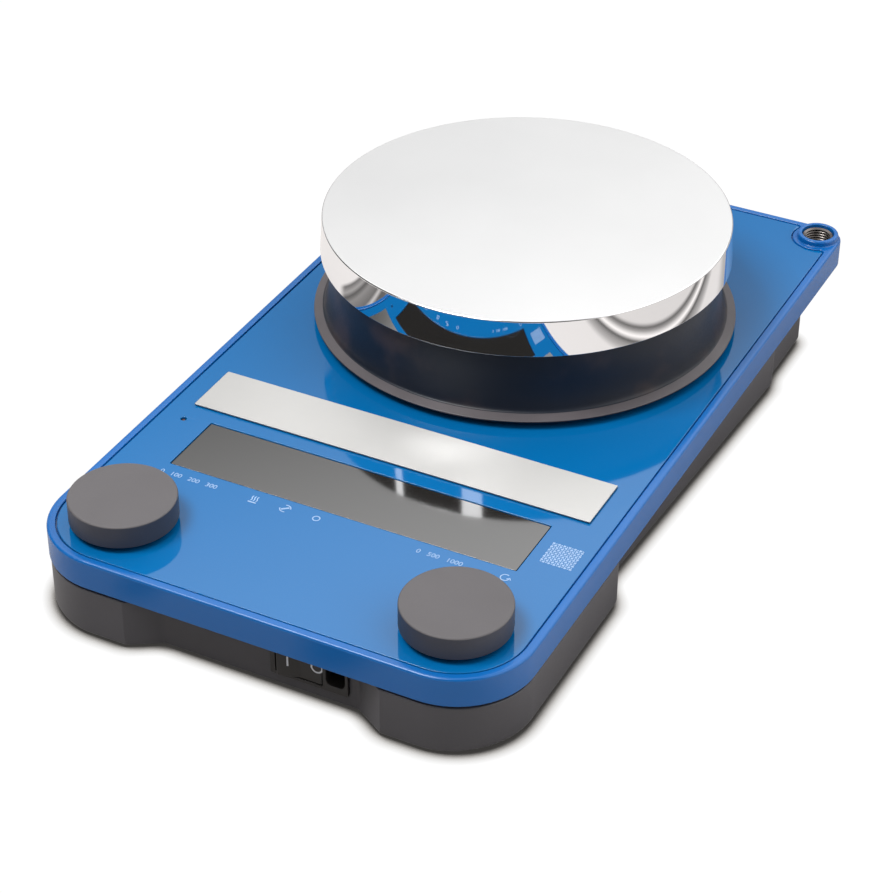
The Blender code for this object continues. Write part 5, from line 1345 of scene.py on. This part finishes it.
def make_rocker():
    """The rocker with two sloped faces, and its on and off marks."""
    pin = middle("rocker_pin")
    low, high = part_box("power_rocker")
    half = (high.z - low.z) / 2
    reach = ROCKER_HALF_LENGTH
    belly = arc((0, ROCKER_SHOULDER), ROCKER_BELLY, 10, 170, CORNER_STEPS)
    outline = rounded_path([(-reach, ROCKER_SHOULDER, 0.0003), (-reach, -ROCKER_FRONT, 0.0005), (0, ROCKER_VEE - ROCKER_FRONT, 0.0040), (reach, -ROCKER_FRONT, 0.0005), (reach, ROCKER_SHOULDER, 0.0003)])
    shape = bmesh.new()
    slab(shape, cleaned(outline + belly), -half, half, 0.0003)
    place = Matrix.Translation(pin) @ Matrix.Rotation(ROCKER_TILT, 4, "Z")
    fit(piece("rocker_button", shape, MATERIALS["switch"], matrix=place), "rocker", "black_plastic", "power_rocker")
    slope = math.atan2(ROCKER_VEE, reach)
    half_mark = SWITCH_MARK_HEIGHT / 2
    marks = (
        ("rocker_mark_on", -1, [Vector((0, -half_mark)), Vector((0, half_mark))], False),
        ("rocker_mark_off", 1, circle((0, 0), half_mark * 0.86), True),
    )
    for name, side, line, closed in marks:
        shape = bmesh.new()
        stroke(shape, line, SWITCH_MARK_STROKE, PRINT_HEIGHT, closed)
        reach_x = side * ROCKER_MARK_REACH + ROCKER_MARK_SHIFT[0]
        depth = ROCKER_VEE * (1 - abs(reach_x) / reach) - ROCKER_FRONT
        on_face = Matrix.Translation((reach_x, depth, ROCKER_MARK_SHIFT[1])) @ Matrix.Rotation(-side * slope, 4, "Z")
        made = piece(name, shape, MATERIALS["switch_print"], matrix=place @ on_face @ FRONT_FACING)
        fit(made, "rocker", "black_plastic")


# Rear fittings

def make_inlet():
    """The mains inlet: round-cornered bezel and a keyed well for the plug."""
    low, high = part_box("power_inlet")
    size = high - low
    shape = bmesh.new()
    slab(shape, box_outline((-size.x / 2, -size.z / 2), (size.x / 2, size.z / 2), 0.0030), -INLET_BEZEL, 0, 0.0005)
    bezel = piece("inlet_bezel", shape, MATERIALS["black_plastic"])
    body = bmesh.new()
    half_x, half_z = INLET_BODY[0] / 2, INLET_BODY[1] / 2
    plain_block(body, (-half_x, -half_z, -size.y), (half_x, half_z, -INLET_BEZEL / 2))
    x, z = INLET_CAVITY[0] / 2, INLET_CAVITY[1] / 2
    keyed = rounded_path(
        [
            (x, -z, 0.0015),
            (x, z - INLET_KEY, 0.0008),
            (x - INLET_KEY, z, 0.0008),
            (INLET_KEY - x, z, 0.0008),
            (-x, z - INLET_KEY, 0.0008),
            (-x, -z, 0.0015),
        ],
        closed=True,
    )
    well = sunk_cutter("plug_well", keyed, INLET_CAVITY[2], 0.0005)
    carve(bezel, [("UNION", piece("inlet_body", body)), ("DIFFERENCE", well)])
    centre = (low + high) / 2
    bezel.data.transform(Matrix.Translation((centre.x, high.y, centre.z)) @ REAR_FACING)
    fit(bezel, "unit", "black_plastic", "power_inlet")
    for name in ("line", "earth", "neutral"):
        make_blade(name)


def make_blade(name):
    """One flat blade of the inlet, with a tapered tip."""
    low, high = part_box("inlet_pin_" + name)
    size = high - low
    shape = bmesh.new()
    section = [(0, -size.y), (0, -0.0008), (0.0002, -0.0003), (0.0006, 0)]
    rings = rings_along(shape, box_outline((-size.x / 2, -size.z / 2), (size.x / 2, size.z / 2), 0.0003), section)
    skin(shape, rings)
    close_off(shape, rings[0])
    close_off(shape, rings[-1])
    centre = (low + high) / 2
    place = Matrix.Translation((centre.x, high.y, centre.z)) @ REAR_FACING
    fit(piece("blade_" + name, shape, MATERIALS["brass"], matrix=place), "unit", "brass", "inlet_pin_" + name)


def ribbed_circle(radius, depth, count):
    """A circle with shallow grip ribs."""
    points = []
    for index in range(4 * count):
        reach = radius - (depth if index % 4 > 1 else 0)
        angle = 2 * math.pi * index / (4 * count)
        points.append(Vector((reach * math.cos(angle), reach * math.sin(angle))))
    return points


def make_fuse_holder():
    """The fuse holder: flange, and a ribbed cap with a driver slot."""
    low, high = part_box("fuse_holder")
    centre = (low + high) / 2
    depth = high.y - low.y
    proud = high.y - REAR_WALL_Y
    shape = bmesh.new()
    section = rounded_path(
        [
            (FUSE_BODY_RADIUS / 4, proud - depth, 0),
            (FUSE_BODY_RADIUS, proud - depth, 0.0005),
            (FUSE_BODY_RADIUS, GAP / 2, 0),
            (FUSE_FLANGE_RADIUS, GAP / 2, 0),
            (FUSE_FLANGE_RADIUS, FUSE_FLANGE, 0.0005),
            (FUSE_CAP_RADIUS, FUSE_FLANGE, 0),
            (FUSE_CAP_RADIUS / 4, FUSE_FLANGE, 0),
        ]
    )
    turn(shape, section, (0, 0), SMALL_TURN_STEPS)
    holder = piece("fuse_flange", shape, MATERIALS["black_plastic"])
    cap = bmesh.new()
    ribs = ribbed_circle(FUSE_CAP_RADIUS, 0.0003, 30)
    rings = rings_along(cap, ribs, [(0.0006, FUSE_FLANGE / 2), (0.0006, FUSE_FLANGE + 0.0004)])
    rings += rings_along(cap, ribs, [(0, FUSE_FLANGE + 0.0006), (0, proud - 0.0006)])
    rings += [ring(cap, circle((0, 0), FUSE_CAP_RADIUS - 0.0005, len(ribs)), proud)]
    skin(cap, rings)
    close_off(cap, rings[0])
    close_off(cap, rings[-1])
    slot = bmesh.new()
    plain_block(slot, (-0.0041, -0.0006, proud - 0.0011), (0.0041, 0.0006, proud + OVERRUN))
    slotted = carve(piece("fuse_cap", cap), [("DIFFERENCE", piece("driver_slot", slot))])
    both = bmesh.new()
    for mesh in (holder.data, slotted.data):
        both.from_mesh(mesh)
    both.to_mesh(holder.data)
    bpy.data.objects.remove(slotted, do_unlink=True)
    holder.data.transform(Matrix.Translation((centre.x, REAR_WALL_Y, centre.z)) @ REAR_FACING)
    fit(holder, "unit", "black_plastic", "fuse_holder")


def make_probe_socket():
    """The round socket for a temperature probe, with its contact insert."""
    low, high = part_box("probe_socket")
    centre = (low + high) / 2
    depth = high.y - low.y
    top = high.y - REAR_WALL_Y
    radius = (high.x - low.x) / 2
    floor = top - PROBE_BORE_DEPTH
    section = rounded_path(
        [
            (PROBE_BODY_RADIUS / 4, top - depth, 0),
            (PROBE_BODY_RADIUS, top - depth, 0.0005),
            (PROBE_BODY_RADIUS, GAP / 2, 0),
            (radius, GAP / 2, 0),
            (radius, top, 0.0005),
            (PROBE_BORE_RADIUS + 0.0012, top, 0.0003),
            (PROBE_BORE_RADIUS + 0.0008, top - 0.0004, 0),
            (PROBE_BORE_RADIUS, top - 0.0004, 0.0002),
            (PROBE_BORE_RADIUS, floor, 0),
            (PROBE_BORE_RADIUS / 4, floor, 0),
        ]
    )
    shape = bmesh.new()
    turn(shape, section, (0, 0), TURN_STEPS)
    place = Matrix.Translation((centre.x, REAR_WALL_Y, centre.z)) @ REAR_FACING
    fit(piece("probe_shell", shape, MATERIALS["steel"], matrix=place), "unit", "plain_steel", "probe_socket")
    insert = bmesh.new()
    contacts = [circle(point, 0.0006, 16) for point in circle((0, 0), 0.0030, 5)] + [circle((0, 0), 0.0006, 16)]
    sheet(insert, circle((0, 0), PROBE_BORE_RADIUS - GAP), contacts, floor + 0.00002, floor + 0.0020, 0.0002)
    fit(piece("probe_contacts", insert, MATERIALS["black_plastic"], matrix=place), "unit", "black_plastic")


# Marks on the panel

def digits(shape, text, x, y):
    """A row of plain figures, from its left end."""
    curve = bpy.data.curves.new("figures", "FONT")
    curve.body = text
    curve.size = DIGIT_SIZE
    curve.extrude = PRINT_HEIGHT / 2
    holder = bpy.data.objects.new("figures", curve)
    bpy.context.scene.collection.objects.link(holder)
    bpy.context.view_layer.update()
    mesh = bpy.data.meshes.new_from_object(holder.evaluated_get(bpy.context.evaluated_depsgraph_get()))
    bpy.data.objects.remove(holder, do_unlink=True)
    mesh.transform(Matrix.Translation((x, y, PRINT_HEIGHT / 2)))
    shape.from_mesh(mesh)
    bpy.data.meshes.remove(mesh)


def heat_sign(shape, x, y):
    """Three rising waves above a bar."""
    for shift in (-0.0009, 0, 0.0009):
        wave = [Vector((x + shift + 0.0002 * math.sin(step * math.pi / 4), y + 0.0003 * step)) for step in range(9)]
        stroke(shape, wave, PRINT_STROKE, PRINT_HEIGHT)
    stroke(shape, [Vector((x - 0.0014, y - 0.0007)), Vector((x + 0.0014, y - 0.0007))], 1.5 * PRINT_STROKE, PRINT_HEIGHT)


def stir_sign(shape, x, y):
    """A slanted stirring bar between two turning strokes."""
    stroke(shape, [Vector((x - 0.0010, y + 0.0003)), Vector((x + 0.0010, y + 0.0019))], 2 * PRINT_STROKE, PRINT_HEIGHT)
    for start in (190, 10):
        stroke(shape, arc((x, y + 0.0011), 0.0017, start, start + 100, 10), PRINT_STROKE, PRINT_HEIGHT)


def turn_sign(shape, x, y):
    """An open ring with an arrowhead."""
    centre = Vector((x, y + 0.0011))
    stroke(shape, arc(centre, 0.0014, 60, 350, 24), PRINT_STROKE, PRINT_HEIGHT)
    tip = centre + Vector((0.0014, 0.0003))
    stroke(shape, [tip - Vector((0.0007, 0.0008)), tip, tip + Vector((0.0006, -0.0009))], PRINT_STROKE, PRINT_HEIGHT)


def square_sign(shape):
    """A plain square of dots on an even lattice."""
    x, y, size = CODE_SQUARE
    count = 12
    pitch = size / count
    for column in range(count):
        for row in range(count):
            dot = pitch * (0.86 if (column + row) % 2 else 0.5)
            middle_x = x + (column + 0.5) * pitch
            middle_y = y + (row + 0.5) * pitch
            ends = [Vector((middle_x - dot / 2, middle_y)), Vector((middle_x + dot / 2, middle_y))]
            stroke(shape, ends, dot, PRINT_HEIGHT)


def make_marks():
    """Plain figures and signs in a row below the display, and the square beside it."""
    shape = bmesh.new()
    digits(shape, "0   100   200   300", -0.0600, PRINT_ROW_Y - 0.0010)
    digits(shape, "0   500   1000", 0.0290, PRINT_ROW_Y - 0.0010)
    heat_sign(shape, -0.0265, PRINT_ROW_Y - 0.0010)
    stir_sign(shape, -0.0158, PRINT_ROW_Y - 0.0010)
    stroke(shape, circle((-0.0050, PRINT_ROW_Y), 0.0011), PRINT_STROKE, PRINT_HEIGHT, closed=True)
    turn_sign(shape, 0.0580, PRINT_ROW_Y - 0.0010)
    square_sign(shape)
    bmesh.ops.remove_doubles(shape, verts=shape.verts, dist=SAME_POINT / 5)
    marks = piece("panel_marks", shape, MATERIALS["print"], matrix=Matrix.Translation((0, 0, PANEL_HIGH.z)))
    fit(marks, "unit", "panel_gloss")


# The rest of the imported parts, which keep their shape

NODE_FINISHES = {
    "shield_gasket": "rubber",
    "heater_ring": "aluminium",
    "insulation_disc": "ceramic",
    "plate_sensor": "steel",
    "heater_retainer": "steel",
    "plate_standoff_1": "ceramic",
    "plate_standoff_2": "ceramic",
    "plate_standoff_3": "ceramic",
    "motor_mount_plate": "steel",
    "motor_case": "aluminium",
    "motor_stator": "copper",
    "lower_bearing": "steel",
    "upper_bearing": "steel",
    "motor_shaft": "steel",
    "motor_rotor": "magnet",
    "magnet_holder": "aluminium",
    "stir_magnet_1": "magnet",
    "stir_magnet_2": "magnet",
    "lcd_module": "window",
    "display_board": "board",
    "power_board": "board",
    "power_module": "black_plastic",
    "triac_heatsink": "aluminium",
    "temperature_encoder_body": "black_plastic",
    "temperature_encoder_plunger": "black_plastic",
    "temperature_encoder_shaft": "steel",
    "speed_encoder_body": "black_plastic",
    "speed_encoder_plunger": "black_plastic",
    "speed_encoder_shaft": "steel",
    "rocker_pin": "steel",
}


def dress_nodes():
    """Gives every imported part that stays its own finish."""
    for name, material in NODE_FINISHES.items():
        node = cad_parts[name]
        if not node.material_slots:
            node.data.materials.append(None)
        for slot in node.material_slots:
            slot.material = MATERIALS[material]


# Studio

def fold_shade(tree, across, folds):
    """Painted shade and highlights of soft folds, as grey levels over a distance across the floor."""
    shade = tree.nodes.new("ShaderNodeValToRGB")
    low, high = FOLD_SPAN
    for position, level in folds:
        stop = shade.color_ramp.elements.new((position - low) / (high - low))
        stop.color = (level, level, level, 1)
    shade.color_ramp.elements[0].color = (1, 1, 1, 1)
    shade.color_ramp.elements[-1].color = shade.color_ramp.elements[-2].color
    share = math_node(tree, "DIVIDE", math_node(tree, "SUBTRACT", across, low), high - low)
    tree.links.new(share, shade.inputs["Fac"])
    return shade.outputs["Color"]


def mirrored_floor(tree):
    """The floor as the polished parts and the gloss show it: beige, with painted shade and highlights for its folds,
    painted shade beside the unit, and two dim patches.
    """
    place = tree.nodes.new("ShaderNodeTexCoord").outputs["Object"]
    split = tree.nodes.new("ShaderNodeSeparateXYZ")
    tree.links.new(place, split.inputs[0])
    x, y = split.outputs["X"], split.outputs["Y"]
    right_lean, left_lean = [math_node(tree, "MULTIPLY", y, lean) for lean in FOLD_LEANS]
    right = fold_shade(tree, math_node(tree, "ADD", x, right_lean), RIGHT_FOLD_SHADING)
    left = fold_shade(tree, math_node(tree, "SUBTRACT", left_lean, x), LEFT_FOLD_SHADING)
    rear = eased_range(tree, y, LEFT_FOLDS_END, (0, 1))
    colour = mix_colour(tree, 1, right, (*FLOOR_TONE, 1), "MULTIPLY")
    colour = mix_colour(tree, 1, colour, mix_colour(tree, rear, left, (1, 1, 1, 1)), "MULTIPLY")
    # Painted shade beside the unit: darker where the floor lies near the middle across X
    aside = math_node(tree, "ABSOLUTE", x, 0)
    near = eased_range(tree, aside, NEAR_UNIT_PAINTED_SHADE_SPAN, (NEAR_UNIT_PAINTED_SHADE_LEVEL, 1))
    colour = mix_colour(tree, near, (0, 0, 0, 1), colour)
    for *centre, reach in DARK_PATCHES:
        gap = tree.nodes.new("ShaderNodeVectorMath")
        gap.operation = "DISTANCE"
        gap.inputs[1].default_value = (*centre, 0)
        tree.links.new(place, gap.inputs[0])
        lit = eased_range(tree, gap.outputs["Value"], (reach / 3, reach), (0, 1))
        colour = mix_colour(tree, lit, (0.02, 0.02, 0.02, 1), colour)
    return colour


def floor_paper():
    """White paper with a narrow soft painted shade at the feet, drawn from ambient occlusion into the paper's glow;
    other surfaces mirror its beige tone and painted shade.
    """
    material = bpy.data.materials.new("floor_paper")
    material.use_nodes = True
    tree = material.node_tree
    tree.nodes.remove(tree.nodes["Principled BSDF"])
    mirrored_tone = tree.nodes.new("ShaderNodeBsdfDiffuse")
    tree.links.new(mirrored_floor(tree), mirrored_tone.inputs["Color"])
    # Painted contact shade: ambient occlusion near the feet darkens the glow that the camera sees
    nearby = tree.nodes.new("ShaderNodeAmbientOcclusion")
    nearby.inputs["Distance"].default_value = FLOOR_SHADE_REACH
    shade = tree.nodes.new("ShaderNodeValToRGB")
    for position, colour in FLOOR_SHADE:
        shade.color_ramp.elements.new(position).color = (*colour, 1)
    shade.color_ramp.elements[0].color = (*FLOOR_SHADE[0][1], 1)
    shade.color_ramp.elements[-1].color = (*FLOOR_SHADE[-1][1], 1)
    tree.links.new(nearby.outputs["AO"], shade.inputs["Fac"])
    white = tree.nodes.new("ShaderNodeEmission")
    tree.links.new(shade.outputs["Color"], white.inputs["Color"])
    seen = tree.nodes.new("ShaderNodeLightPath")
    either = tree.nodes.new("ShaderNodeMixShader")
    tree.links.new(seen.outputs["Is Camera Ray"], either.inputs[0])
    tree.links.new(mirrored_tone.outputs[0], either.inputs[1])
    tree.links.new(white.outputs[0], either.inputs[2])
    tree.links.new(either.outputs[0], tree.nodes["Material Output"].inputs["Surface"])
    return material


def make_floor():
    """A plain pale floor, far larger than the view."""
    shape = bmesh.new()
    outline = box_outline((-3, -3), (3, 3), 0.5)
    rings = [ring(shape, outline, -0.0200), ring(shape, outline, 0)]
    skin(shape, rings)
    for loop in rings:
        close_off(shape, loop)
    piece("floor", shape, floor_paper())


def make_light(name, place, target, size, power, colour=(1, 1, 1)):
    """A soft light of a width and a height that faces a point."""
    lamp = bpy.data.lights.new(name, "AREA")
    lamp.shape = "RECTANGLE"
    lamp.size, lamp.size_y = size
    lamp.energy = power
    lamp.color = colour
    holder = bpy.data.objects.new(name, lamp)
    holder.location = place
    holder.rotation_euler = (Vector(target) - Vector(place)).to_track_quat("-Z", "Y").to_euler()
    bpy.context.scene.collection.objects.link(holder)


def around(bearing, distance, height):
    """A place at a compass bearing from +X, in degrees."""
    angle = math.radians(bearing)
    return (distance * math.cos(angle), distance * math.sin(angle), height)


def make_world():
    """Soft surroundings: bright overhead and high behind, dim on the lens's side."""
    world = bpy.data.worlds.new("studio")
    bpy.context.scene.world = world
    world.use_nodes = True
    tree = world.node_tree
    sky = tree.nodes["Background"]
    sky.inputs["Color"].default_value = (1, 1, 1, 1)
    place = tree.nodes.new("ShaderNodeTexCoord")
    split = tree.nodes.new("ShaderNodeSeparateXYZ")
    tree.links.new(place.outputs["Generated"], split.inputs[0])
    slant = math_node(tree, "MULTIPLY", split.outputs["X"], BACK_SLANT)
    rise = math_node(tree, "ADD", split.outputs["Z"], slant)
    behind = eased_range(tree, rise, BACK_RISE, (BACK_LOW, BACK_HIGH))
    top = eased_range(tree, split.outputs["Z"], TOP_RISE, (0, 1))
    toward = math_node(
        tree,
        "ADD",
        math_node(tree, "MULTIPLY", split.outputs["X"], math.cos(math.radians(DIM_BEARING))),
        math_node(tree, "MULTIPLY", split.outputs["Y"], math.sin(math.radians(DIM_BEARING))),
    )
    dim = eased_range(tree, toward, DIM_RISE, (0, 1))
    sides = mix_value(tree, dim, behind, DIM_LEVEL)
    tree.links.new(mix_value(tree, top, sides, TOP_LEVEL), sky.inputs["Strength"])


def make_camera():
    """The photograph's view."""
    camera = bpy.data.objects.new("camera", bpy.data.cameras.new("camera"))
    camera.data.lens = 100.06
    camera.data.sensor_width = 36.0
    camera.location = (0.2989, -0.6098, 0.4748)
    camera.rotation_euler = [math.radians(angle) for angle in (54.9324, -0.2523, 26.8904)]
    bpy.context.scene.collection.objects.link(camera)
    bpy.context.scene.camera = camera


make_camera()
make_cover()
make_rod_socket()
make_panel()
make_badge()
make_window()
make_lamp()
make_plate()
make_shield()
for knob in ("temperature", "speed"):
    make_knob(knob)
make_housing()
for corner in ("front_left", "front_right", "rear_left", "rear_right"):
    make_foot_pad("rubber_foot_" + corner)
    make_screw("housing_screw_" + corner)
make_switch_frame()
make_rocker()
make_inlet()
make_fuse_holder()
make_probe_socket()
make_marks()
dress_nodes()
make_floor()
make_world()
make_light("softbox", around(-132, 0.62, 1.26), (0, 0, 0), (0.50, 0.50), 12)
make_light("left_strip", around(-142.7, 0.88, 1.22), (0, 0, 0.03), (0.10, 1.00), 1.6)
make_light("front_strip", around(-93.5, 0.88, 1.22), (0, 0, 0.03), (0.24, 1.00), 3.7)
bpy.context.scene.view_settings.view_transform = "Standard"
